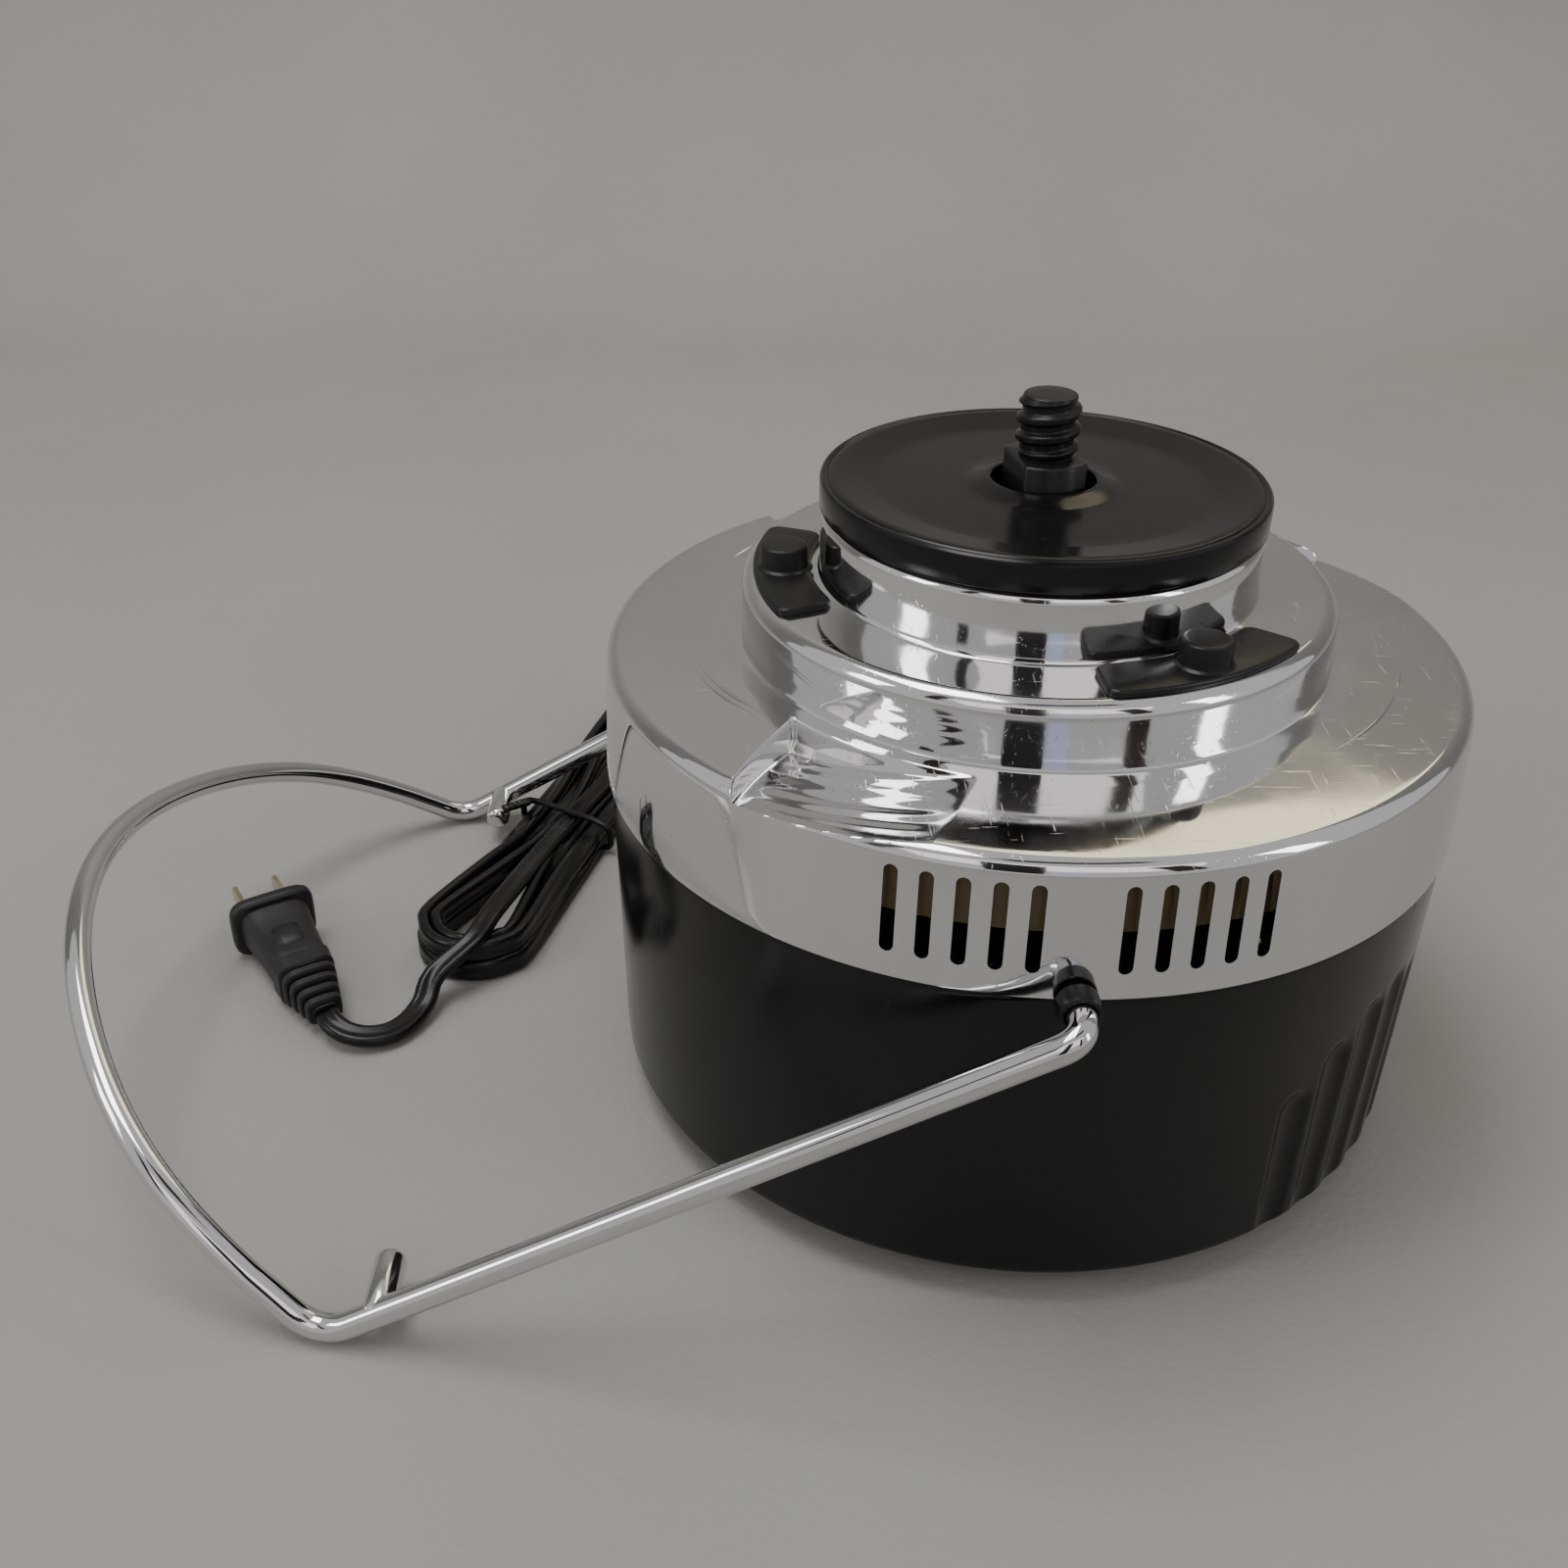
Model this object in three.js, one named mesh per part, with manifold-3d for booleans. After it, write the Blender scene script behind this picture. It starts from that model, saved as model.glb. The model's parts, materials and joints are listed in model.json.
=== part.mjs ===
// Motor base of a centrifugal juice extractor, with its lid clamp bail and mains lead.
// Millimetres, +Z up. The drive axis is vertical, and the bail rests towards -X.
import * as THREE from 'three';
import { mergeVertices } from 'three/addons/utils/BufferGeometryUtils.js';
import Module from 'manifold-3d';

const wasm = await Module();
wasm.setup();

// ---------------------------------------------------------------- driving dimensions
const GAP = 0.3; // between touching pieces
const ORIGIN_X = -73; // middle of the machine's length, bail included
const ROUND = 48; // facets around the large turned pieces

// black lower housing
const HOUSING_Z0 = 9.3;
const HOUSING_R_LOW = 109.2;
const HOUSING_R_TOP = 110.3;
const HOUSING_WALL = 2.8;
const BAND_Z0 = 95.5; // joint between the housing and the chrome top shell

// chrome top: vent band and deck, bowl shelf and neck
const BAND_R = 111.3;
const RIM_R = 110;
const DECK_Z = 130;
const RIM_FILLET = 4;
const SHELF_R = 75;
const SHELF_Z = 146.5;
const SHELF_FILLET = 4;
const NECK_R = 55;
const NECK_Z = 163;
const NECK_FILLET = 2.5;
const NECK_BORE_R = 24;
const SHELL_WALL = 2;
const VENT_WIDTH = 3.2;
const VENT_Z = [101.8, 123.4];
const VENT_PITCH_DEG = 4.05;
const VENT_GROUP_GAP_DEG = 10.1;

// black cap disc and drive spindle
const CAP_R = 55.5;
const CAP_Z = 171.1;
const CAP_BORE_R = 13;
const CAP_DISH = 1.6;
const SPINDLE_TOP_Z = 192;
const BOSS_R = 11.5;
const BOSS_TOP_Z = 176.8;
const BOSS_HALF_FLATS = 8;
const THREAD_ROOT_R = 6.6;
const THREAD_CREST_R = 7.8;
const THREAD_PITCH = 4.6;

// rubber bowl pads on the shelf, each with one post
const PAD_AZIMUTHS_DEG = [-179, -63.5];
const PAD_HALF_ANGLE_DEG = 23;
const PAD_R = [57.5, 72];
const PAD_TOP_Z = 148.2;
const POST_R = 6;
const POST_CIRCLE_R = 64.2;
const POST_TOP_Z = 154.2;

// clamp bail, bent from round wire
const WIRE_R = 3.44;
const PIVOT_X = -5;
const PIVOT_Z = 95.8;
const PIVOT_HALF_SPAN = 124.7;
const CORNER_X = -175.7;
const CORNER_HALF_WIDTH = 116.2;
const BOW_RISE_DEG = 37.5;
const BOW_TERMS = [[2, 70.3], [4, -10.2], [8, 38.4]]; // bow = sum of k (1 - u^n)
const TENON_R = 2.5;
const TENON_INNER_Y = 99;
const ELBOW_BEND = 6.5;
const CUFF_R = 4.9;
const CUFF_INNER_Y = 111.9;
const CUFF_OUTER_Y = 117.6;
const LID_PIN_R = 3.9;
const LID_PIN_LENGTH = 17.4;
const LID_PIN_ALONG_ARM = 0.915;

// motor
const CHASSIS_Z = [84, 86];
const CHASSIS_R = 96;
const STATOR_R = 45;
const STATOR_Z = [38, 68];
const ROTOR_R = 26;
const SHAFT_R = 5;

// mains lead
const CORD_R = 3.6;
const HANK_Z = [1.4, 11];
const HANK_ENDS = [[-159.5, 39], [-109, 183]]; // centres of its round ends
const HANK_END_R = [19.5, 16.5];
const TIE_AT = 0.44; // along the hank

// ---------------------------------------------------------------- geometry helpers
const rad = THREE.MathUtils.degToRad;

function signedVolume(position, index) {
  const [a, b, c] = [new THREE.Vector3(), new THREE.Vector3(), new THREE.Vector3()];
  let volume = 0;
  for (let i = 0; i < index.length; i += 3) {
    a.fromBufferAttribute(position, index[i]);
    b.fromBufferAttribute(position, index[i + 1]);
    c.fromBufferAttribute(position, index[i + 2]);
    volume += a.dot(b.cross(c)) / 6;
  }
  return volume;
}

// One closed surface: shared corners merged, slivers dropped, faces pointing out.
function closed(geometry) {
  const bare = geometry.clone();
  bare.deleteAttribute('normal');
  bare.deleteAttribute('uv');
  const merged = mergeVertices(bare, 1e-4);
  const kept = [];
  const old = merged.index.array;
  for (let i = 0; i < old.length; i += 3) {
    const [a, b, c] = [old[i], old[i + 1], old[i + 2]];
    if (a !== b && b !== c && c !== a) kept.push(a, b, c);
  }
  if (signedVolume(merged.attributes.position, kept) < 0) kept.reverse();
  merged.setIndex(kept);
  return merged;
}

function toSolid(geometry) {
  const shape = closed(geometry);
  return new wasm.Manifold(new wasm.Mesh({
    numProp: 3,
    vertProperties: Float32Array.from(shape.attributes.position.array),
    triVerts: Uint32Array.from(shape.index.array),
  }));
}

function fromSolid(solid) {
  const mesh = solid.getMesh();
  const geometry = new THREE.BufferGeometry();
  geometry.setAttribute('position', new THREE.BufferAttribute(Float32Array.from(mesh.vertProperties), 3));
  geometry.setIndex(Array.from(mesh.triVerts));
  return geometry;
}

const join = (...shapes) => fromSolid(shapes.map(toSolid).reduce((a, b) => a.add(b)));
const cut = (shape, ...tools) => fromSolid(tools.map(toSolid).reduce((a, b) => a.subtract(b), toSolid(shape)));
const common = (a, b) => fromSolid(toSolid(a).intersect(toSolid(b)));

// Points of an arc in the (r, z) plane, from angle a0 to a1 in degrees.
function arc(r, z, radius, a0, a1, steps = 4) {
  return Array.from({ length: steps + 1 }, (_, i) => {
    const a = rad(a0 + (a1 - a0) * i / steps);
    return [r + radius * Math.cos(a), z + radius * Math.sin(a)];
  });
}

// A turned solid about +Z from an (r, z) outline, which is closed here.
function turned(outline, segments = 48) {
  const points = [...outline, outline[0]].map(([r, z]) => new THREE.Vector2(Math.max(r, 0), z));
  return closed(new THREE.LatheGeometry(points, segments).rotateX(Math.PI / 2));
}

const disc = (r, z0, z1, segments) => turned([[0, z0], [r, z0], [r, z1], [0, z1]], segments);
const ring = (r0, r1, z0, z1, segments) => turned([[r0, z0], [r1, z0], [r1, z1], [r0, z1]], segments);

// A round rod between two points.
function rod(from, to, radius, sides = 16) {
  const [a, b] = [new THREE.Vector3(...from), new THREE.Vector3(...to)];
  const along = b.clone().sub(a);
  const geometry = new THREE.CylinderGeometry(radius, radius, along.length(), sides);
  geometry.applyQuaternion(new THREE.Quaternion().setFromUnitVectors(new THREE.Vector3(0, 1, 0), along.normalize()));
  geometry.translate(...a.add(b).multiplyScalar(0.5).toArray());
  return geometry;
}

function block(x, y, z) {
  const [cx, cy, cz] = [x, y, z].map(([lo, hi]) => (lo + hi) / 2);
  return new THREE.BoxGeometry(x[1] - x[0], y[1] - y[0], z[1] - z[0]).translate(cx, cy, cz);
}

// A flat outline in x and y, raised from z0 to z1.
function raised(points, z0, z1) {
  const outline = new THREE.Shape(points.map(([x, y]) => new THREE.Vector2(x, y)));
  return new THREE.ExtrudeGeometry(outline, { depth: z1 - z0, bevelEnabled: false }).translate(0, 0, z0);
}

const polar = (r, azimuthDeg, z) => [r * Math.cos(rad(azimuthDeg)), r * Math.sin(rad(azimuthDeg)), z];

// A curve whose sections stand exactly at the listed points.
class StationCurve extends THREE.Curve {
  constructor(points) {
    super();
    this.points = points.map((p) => new THREE.Vector3(...p));
  }

  getPoint(t, target = new THREE.Vector3()) {
    const last = this.points.length - 1;
    const i = Math.min(Math.floor(t * last + 1e-9), last - 1);
    return target.lerpVectors(this.points[i], this.points[i + 1], t * last - i);
  }

  getTangent(t, target = new THREE.Vector3()) {
    const last = this.points.length - 1;
    const i = Math.round(t * last);
    return target.subVectors(this.points[Math.min(i + 1, last)], this.points[Math.max(i - 1, 0)]).normalize();
  }

  getUtoTmapping(u) {
    return u;
  }
}

// A round tube along a list of points.
function tube(points, radius, sides) {
  const section = new THREE.Shape();
  for (let i = 0; i < sides; i++) {
    const a = rad(360 * (i + 0.5) / sides);
    const corner = [radius * Math.cos(a), radius * Math.sin(a)];
    if (i === 0) section.moveTo(...corner);
    else section.lineTo(...corner);
  }
  section.closePath();
  const extrudePath = new StationCurve(points);
  return new THREE.ExtrudeGeometry(section, { steps: points.length - 1, extrudePath, curveSegments: 1 });
}

// Replaces the sharp corner b of a path from a to c with an arc-like bend.
function bend(a, b, c, radius, steps = 5) {
  const [va, vb, vc] = [a, b, c].map((p) => new THREE.Vector3(...p));
  const start = vb.clone().add(va.sub(vb).setLength(radius));
  const end = vb.clone().add(vc.sub(vb).setLength(radius));
  const curve = new THREE.QuadraticBezierCurve3(start, vb, end);
  return curve.getPoints(steps).map((p) => p.toArray());
}

// ---------------------------------------------------------------- scene graph
const machine = new THREE.Group();
const looks = {
  chrome: { color: 0xd9dadd, roughness: 0.08, metalness: 1 },
  blackPlastic: { color: 0x121214, roughness: 0.35, metalness: 0 },
  rubber: { color: 0x1a1a1b, roughness: 0.75, metalness: 0 },
  steel: { color: 0x9b9da0, roughness: 0.4, metalness: 1 },
  laminations: { color: 0x55585c, roughness: 0.6, metalness: 0.8 },
  copper: { color: 0xb06a3a, roughness: 0.4, metalness: 0.9 },
  aluminium: { color: 0xb9bcc0, roughness: 0.45, metalness: 1 },
  nylon: { color: 0xd8d4c8, roughness: 0.5, metalness: 0 },
  brass: { color: 0xc9b06a, roughness: 0.3, metalness: 1 },
  cordPvc: { color: 0x0e0e10, roughness: 0.4, metalness: 0 },
};

function add(name, geometry, look) {
  const mesh = new THREE.Mesh(closed(geometry), new THREE.MeshStandardMaterial(looks[look]));
  mesh.name = name;
  machine.add(mesh);
}

// ---------------------------------------------------------------- chrome top shell
// A grip recess in the deck: level with it along a crease, deepest at the steep inner corner.
const RECESS_INNER_R = 80;
const RECESS_OUTER_R = 116;
const RECESS_DEPTH_INNER = 8;
const RECESS_DEPTH_RIM = 3;
// azimuths of [crease, steep wall] at the inner edge and at the rim
const RECESS_FRONT = { inner: [-106.6, -142.6], rim: [-110.8, -134.1] };
const RECESS_RIGHT = { inner: [2.6, 38.6], rim: [6.8, 30.1] };
const RECESS_LEFT = { inner: [98.6, 134.6], rim: [102.8, 126.1] };

function recessBlock(recess, drop, widen, topZ) {
  const [across, along] = [8, 2];
  const height = (u, v) => {
    const depth = RECESS_DEPTH_INNER + (RECESS_DEPTH_RIM - RECESS_DEPTH_INNER) * v;
    return DECK_Z - depth * u - drop;
  };
  const grid = (i, j, z) => {
    const [u, v] = [i / across, j / along];
    const spread = widen * Math.sign(recess.inner[1] - recess.inner[0]);
    const crease = THREE.MathUtils.lerp(recess.inner[0], recess.rim[0], v) - spread;
    const wall = THREE.MathUtils.lerp(recess.inner[1], recess.rim[1], v) + spread;
    const r = THREE.MathUtils.lerp(RECESS_INNER_R - widen, RECESS_OUTER_R, v);
    return polar(r, THREE.MathUtils.lerp(crease, wall, u), z ?? height(u, v));
  };
  const vertices = [];
  const faces = [];
  const id = (i, j, top) => (top ? (across + 1) * (along + 1) : 0) + i * (along + 1) + j;
  for (const z of [undefined, topZ]) {
    for (let i = 0; i <= across; i++) {
      for (let j = 0; j <= along; j++) vertices.push(...grid(i, j, z));
    }
  }
  const quad = (a, b, c, d) => faces.push(a, b, c, a, c, d);
  for (let i = 0; i < across; i++) {
    for (let j = 0; j < along; j++) {
      quad(id(i, j, false), id(i + 1, j, false), id(i + 1, j + 1, false), id(i, j + 1, false));
      quad(id(i, j, true), id(i, j + 1, true), id(i + 1, j + 1, true), id(i + 1, j, true));
    }
    quad(id(i, 0, false), id(i, 0, true), id(i + 1, 0, true), id(i + 1, 0, false));
    quad(id(i, along, false), id(i + 1, along, false), id(i + 1, along, true), id(i, along, true));
  }
  for (let j = 0; j < along; j++) {
    quad(id(0, j, false), id(0, j + 1, false), id(0, j + 1, true), id(0, j, true));
    quad(id(across, j, false), id(across, j, true), id(across, j + 1, true), id(across, j + 1, false));
  }
  const geometry = new THREE.BufferGeometry();
  geometry.setAttribute('position', new THREE.Float32BufferAttribute(vertices, 3));
  geometry.setIndex(faces);
  return closed(geometry);
}

// Azimuths of the vent slots: two groups of five beside each bail pivot.
function ventAzimuths() {
  const pivot = -90 + THREE.MathUtils.radToDeg(PIVOT_X / BAND_R);
  const near = [];
  for (let i = 0; i < 5; i++) {
    const offset = VENT_GROUP_GAP_DEG / 2 + VENT_PITCH_DEG * i;
    near.push(pivot - offset, pivot + offset);
  }
  return [...near, ...near.map((a) => -a)];
}

// A round-ended slot cutter, pointing outwards from the axis.
function ventCutter(azimuthDeg) {
  const half = VENT_WIDTH / 2;
  const reach = (VENT_Z[1] - VENT_Z[0]) / 2 - half;
  const outline = [...arc(0, reach, half, 0, 180, 2), ...arc(0, -reach, half, 180, 360, 2)];
  const cutter = raised(outline, 0, 14).rotateX(Math.PI / 2).rotateZ(Math.PI / 2);
  cutter.translate(RIM_R - 10, 0, (VENT_Z[0] + VENT_Z[1]) / 2);
  return cutter.rotateZ(rad(azimuthDeg));
}

const pivotHole = (side) => rod([PIVOT_X, side * 92, PIVOT_Z], [PIVOT_X, side * 116, PIVOT_Z], 4.2, 12);

// The vent band and the deck.
function topShell() {
  const outer = [
    [BAND_R, BAND_Z0],
    ...arc(RIM_R - RIM_FILLET, DECK_Z - RIM_FILLET, RIM_FILLET, 0, 90, 3),
    [SHELF_R - SHELL_WALL, DECK_Z],
  ];
  const inner = [
    [SHELF_R - SHELL_WALL, DECK_Z - SHELL_WALL],
    [RIM_R - SHELL_WALL - 1, DECK_Z - SHELL_WALL],
    [RIM_R - SHELL_WALL, DECK_Z - SHELL_WALL - 1],
    [BAND_R - SHELL_WALL, BAND_Z0],
  ];
  const envelope = turned([[0, BAND_Z0], ...outer, [0, DECK_Z]], ROUND);
  const recesses = [RECESS_FRONT, RECESS_RIGHT, RECESS_LEFT];
  const trays = recesses.map((recess) => common(recessBlock(recess, SHELL_WALL, 1.5, DECK_Z - 0.5), envelope));
  const shell = join(turned([...outer, ...inner], ROUND), ...trays);
  const pockets = recesses.map((recess) => recessBlock(recess, -0.02, 0, DECK_Z + 4));
  return cut(shell, ...pockets, ...ventAzimuths().map(ventCutter), pivotHole(-1), pivotHole(1));
}

// A raised step of the chrome top: an upright wall with a rounded edge, and a flat top to a bore.
function step(radius, fillet, z0, z1, boreR, steps) {
  return turned([
    [radius, z0 + GAP],
    ...arc(radius - fillet, z1 - fillet, fillet, 0, 90, steps),
    [boreR, z1],
    [boreR, z1 - SHELL_WALL],
    [radius - SHELL_WALL - 1, z1 - SHELL_WALL],
    [radius - SHELL_WALL, z1 - SHELL_WALL - 1],
    [radius - SHELL_WALL, z0 + GAP],
  ], ROUND);
}

add('shelf_step', step(SHELF_R, SHELF_FILLET, DECK_Z, SHELF_Z, NECK_R + GAP, 3), 'chrome');
add('neck_step', step(NECK_R, NECK_FILLET, SHELF_Z - SHELL_WALL, NECK_Z, NECK_BORE_R, 2), 'chrome');
add('top_shell', topShell(), 'chrome');

// ---------------------------------------------------------------- lower housing and base
const FLUTE_R = 11.6;
const FLUTE_CENTRE_R = 119.7;
const FLUTE_AZIMUTHS_DEG = [-60, -53.3, -46.6, -39.9, -33.2];
const FLUTE_TOPS = [60, 69, 75, 76, 72];
const BOSS_CIRCLE_R = 89;
const BOSS_AZIMUTHS_DEG = [30, 120, 210, 300];
const CORD_EXIT_AZIMUTH_DEG = 106;
const CORD_EXIT_Z = 26;

function flute(azimuthDeg, topZ) {
  const outline = [[0, 0], [FLUTE_R, 0], ...arc(0, topZ - FLUTE_R, FLUTE_R, 0, 90, 3)];
  const [x, y] = polar(FLUTE_CENTRE_R, azimuthDeg);
  return turned(outline, 20).translate(x, y, 0);
}

function lowerHousing() {
  const wall = HOUSING_WALL;
  const shell = turned([
    [HOUSING_R_LOW - wall, HOUSING_Z0],
    ...arc(HOUSING_R_LOW - 2.5, HOUSING_Z0 + 2.5, 2.5, 270, 360, 3),
    [HOUSING_R_TOP, BAND_Z0 - GAP],
    [HOUSING_R_TOP - wall, BAND_Z0 - GAP],
  ], ROUND);
  const flutes = FLUTE_AZIMUTHS_DEG.map((a, i) => flute(a, FLUTE_TOPS[i]));
  const bosses = BOSS_AZIMUTHS_DEG.map((a) => {
    const [x, y] = polar(BOSS_CIRCLE_R, a);
    return disc(6, 18, CHASSIS_Z[0] - GAP, 14).translate(x, y, 0);
  });
  const webs = BOSS_AZIMUTHS_DEG.map((a) => block([BOSS_CIRCLE_R, HOUSING_R_LOW - 1.2], [-1.5, 1.5],
    [20, CHASSIS_Z[0] - 3]).rotateZ(rad(a)));
  const lowBores = BOSS_AZIMUTHS_DEG.map((a) => {
    const [x, y] = polar(BOSS_CIRCLE_R, a);
    return disc(2, 10, CHASSIS_Z[0] + 4, 8).translate(x, y, 0);
  });
  const exit = rod([0, 0, CORD_EXIT_Z], [125, 0, CORD_EXIT_Z], 5.3, 16)
    .translate(90, 0, 0).rotateZ(rad(CORD_EXIT_AZIMUTH_DEG));
  const full = join(shell, gripBacking(), ...bosses, ...webs);
  return cut(full, ...flutes, ...lowBores, exit, pivotHole(-1), pivotHole(1));
}

// A thicker wall behind the finger flutes.
function gripBacking() {
  const [a0, a1] = [-66, -27];
  const outer = arc(0, 0, HOUSING_R_LOW - 1, a0, a1, 12);
  const inner = arc(0, 0, HOUSING_R_LOW - HOUSING_WALL - 2.6, a1, a0, 12);
  return raised([...outer, ...inner], HOUSING_Z0 + 0.8, 82);
}

function basePlate() {
  const plate = disc(HOUSING_R_LOW - HOUSING_WALL - GAP, HOUSING_Z0, HOUSING_Z0 + 2.2, ROUND);
  const screwHoles = BOSS_AZIMUTHS_DEG.map((a) => {
    const [x, y] = polar(BOSS_CIRCLE_R, a);
    return disc(2.1, 0, 30, 12).translate(x, y, 0);
  });
  const louvres = [-3, -1, 1, 3].map((i) => block([-30, 30], [i * 7 - 2, i * 7 + 2], [0, 30]));
  return cut(plate, ...screwHoles, ...louvres, gripBacking());
}

add('lower_housing', lowerHousing(), 'blackPlastic');
add('base_plate', basePlate(), 'blackPlastic');

const FOOT_AZIMUTHS_DEG = [45, 135, 225, 315];
FOOT_AZIMUTHS_DEG.forEach((a, i) => {
  const [x, y] = polar(88, a);
  const top = HOUSING_Z0 - GAP;
  const foot = turned([[0, 0], [8, 0], [9, 1], [11, top], [0, top]], 16);
  add(`foot_${i + 1}`, foot.translate(x, y, 0), 'rubber');
});

// A pan-head screw standing along +Z, its head below z0.
function screw(x, y, z0, length, headR, shankR) {
  const outline = [[0, z0 - 2.2], [headR - 0.6, z0 - 2.2], [headR, z0 - 1.4], [headR, z0 - GAP],
    [shankR, z0 - GAP], [shankR, z0 + length], [0, z0 + length]];
  return turned(outline, 8).translate(x, y, 0);
}

BOSS_AZIMUTHS_DEG.forEach((a, i) => {
  const [x, y] = polar(BOSS_CIRCLE_R, a);
  add(`base_screw_${i + 1}`, screw(x, y, HOUSING_Z0, 16, 4, 1.7), 'steel');
  const chassisScrew = screw(0, 0, 0, 13, 4, 1.7).rotateX(Math.PI);
  add(`chassis_screw_${i + 1}`, chassisScrew.translate(x, y, CHASSIS_Z[1]), 'steel');
});

// ---------------------------------------------------------------- cap disc
function capDisc() {
  const z0 = NECK_Z + GAP;
  return turned([
    [CAP_BORE_R, z0],
    [CAP_R - 0.8, z0],
    [CAP_R, z0 + 0.8],
    [CAP_R, CAP_Z - 0.8],
    [CAP_R - 0.8, CAP_Z],
    [51, CAP_Z],
    [42, CAP_Z - CAP_DISH],
    [19, CAP_Z - CAP_DISH],
    [14, CAP_Z],
    [CAP_BORE_R, CAP_Z],
  ], ROUND);
}

add('cap_disc', capDisc(), 'blackPlastic');
add('shaft_seal', ring(SHAFT_R + GAP, 12, 153.2, 157.2, 20), 'rubber');
add('seal_retainer', turned([
  [12 + GAP, 152.6], [15, 152.6], [15, 158.2], [40, 158.2], [40, NECK_Z - SHELL_WALL - GAP],
  [12 + GAP, NECK_Z - SHELL_WALL - GAP],
], 28), 'steel');

// ---------------------------------------------------------------- drive spindle
// A helical ridge around +Z, closed at both ends.
function threadRidge(z0, turns) {
  const points = [];
  const perTurn = 12;
  for (let i = 0; i <= turns * perTurn; i++) {
    const a = rad(360 * i / perTurn + 150);
    const r = (THREAD_ROOT_R + THREAD_CREST_R) / 2 - 0.15;
    points.push([r * Math.cos(a), r * Math.sin(a), z0 + THREAD_PITCH * i / perTurn]);
  }
  return tube(points, (THREAD_CREST_R - THREAD_ROOT_R) / 2 + 0.3, 6);
}

function driveSpindle() {
  const hub = disc(BOSS_R - 1, 158.6, CAP_Z - 3, 24);
  const boss = common(disc(BOSS_R, CAP_Z - 4, BOSS_TOP_Z, 32),
    block([-BOSS_HALF_FLATS, BOSS_HALF_FLATS], [-BOSS_R - 1, BOSS_R + 1], [160, 180]).rotateZ(rad(9)));
  const post = turned([[0, BOSS_TOP_Z - 2], [THREAD_ROOT_R, BOSS_TOP_Z - 2], [THREAD_ROOT_R, SPINDLE_TOP_Z - 0.4],
    [THREAD_ROOT_R - 0.4, SPINDLE_TOP_Z], [0, SPINDLE_TOP_Z]], 20);
  const bore = disc(SHAFT_R + GAP, 150, 176 + GAP, 16);
  return cut(join(hub, boss, post, threadRidge(177.4, 2.75)), bore);
}

add('drive_spindle', driveSpindle(), 'blackPlastic');

// ---------------------------------------------------------------- bowl pads with their posts
function bowlPad(azimuthDeg) {
  const [a0, a1] = [azimuthDeg - PAD_HALF_ANGLE_DEG, azimuthDeg + PAD_HALF_ANGLE_DEG];
  const round = 3;
  const corner = (r, a, turnDeg) => arc(...polar(r, a).slice(0, 2), round, turnDeg, turnDeg + 90, 4);
  const inset = (r) => THREE.MathUtils.radToDeg(round / r);
  const [r0, r1] = [PAD_R[0] + round, PAD_R[1] - round];
  const [i0, i1] = [inset(r0), inset(r1)];
  const outline = [
    ...corner(r1, a0 + i1, a0 - 90),
    ...arc(0, 0, PAD_R[1], a0 + 2 * i1, a1 - 2 * i1, 8),
    ...corner(r1, a1 - i1, a1),
    ...corner(r0, a1 - i0, a1 + 90),
    ...arc(0, 0, PAD_R[0], a1 - 2 * i0, a0 + 2 * i0, 8),
    ...corner(r0, a0 + i0, a0 + 180),
  ];
  const pad = raised(outline, SHELF_Z + GAP, PAD_TOP_Z);
  const [x, y] = polar(POST_CIRCLE_R, azimuthDeg);
  const post = turned([[0, PAD_TOP_Z - 0.8], [POST_R + 0.2, PAD_TOP_Z - 0.8], [POST_R, POST_TOP_Z - 0.6],
    [POST_R - 0.6, POST_TOP_Z], [0, POST_TOP_Z]], 28).translate(x, y, 0);
  return join(pad, post);
}

PAD_AZIMUTHS_DEG.forEach((a, i) => add(`bowl_pad_${i + 1}`, bowlPad(a), 'rubber'));

// ---------------------------------------------------------------- clamp bail
const CORNER_Z = WIRE_R - 1.8; // where the straight arm and the bow would meet below the bend

// A point of the bow, at u from -1 (near corner) to 1 (far corner).
function bowPoint(u) {
  const out = BOW_TERMS.reduce((sum, [power, k]) => sum + k * (1 - Math.abs(u) ** power), 0);
  return [
    CORNER_X - out * Math.cos(rad(BOW_RISE_DEG)),
    CORNER_HALF_WIDTH * u,
    CORNER_Z + out * Math.sin(rad(BOW_RISE_DEG)),
  ];
}

function bailPath() {
  const side = (s) => {
    const inner = [PIVOT_X, s * (HOUSING_R_TOP + 3.5), PIVOT_Z];
    const elbow = [PIVOT_X, s * PIVOT_HALF_SPAN, PIVOT_Z];
    const corner = [CORNER_X, s * CORNER_HALF_WIDTH, CORNER_Z];
    return [inner, ...bend(inner, elbow, corner, ELBOW_BEND), ...bend(elbow, corner, bowPoint(s * 0.965), 9)];
  };
  const bow = Array.from({ length: 27 }, (_, i) => Math.sin(rad(90 * (i - 13) / 13 * 0.93)) * 0.945)
    .map(bowPoint);
  return [...side(-1), ...bow, ...side(1).reverse()];
}

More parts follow.
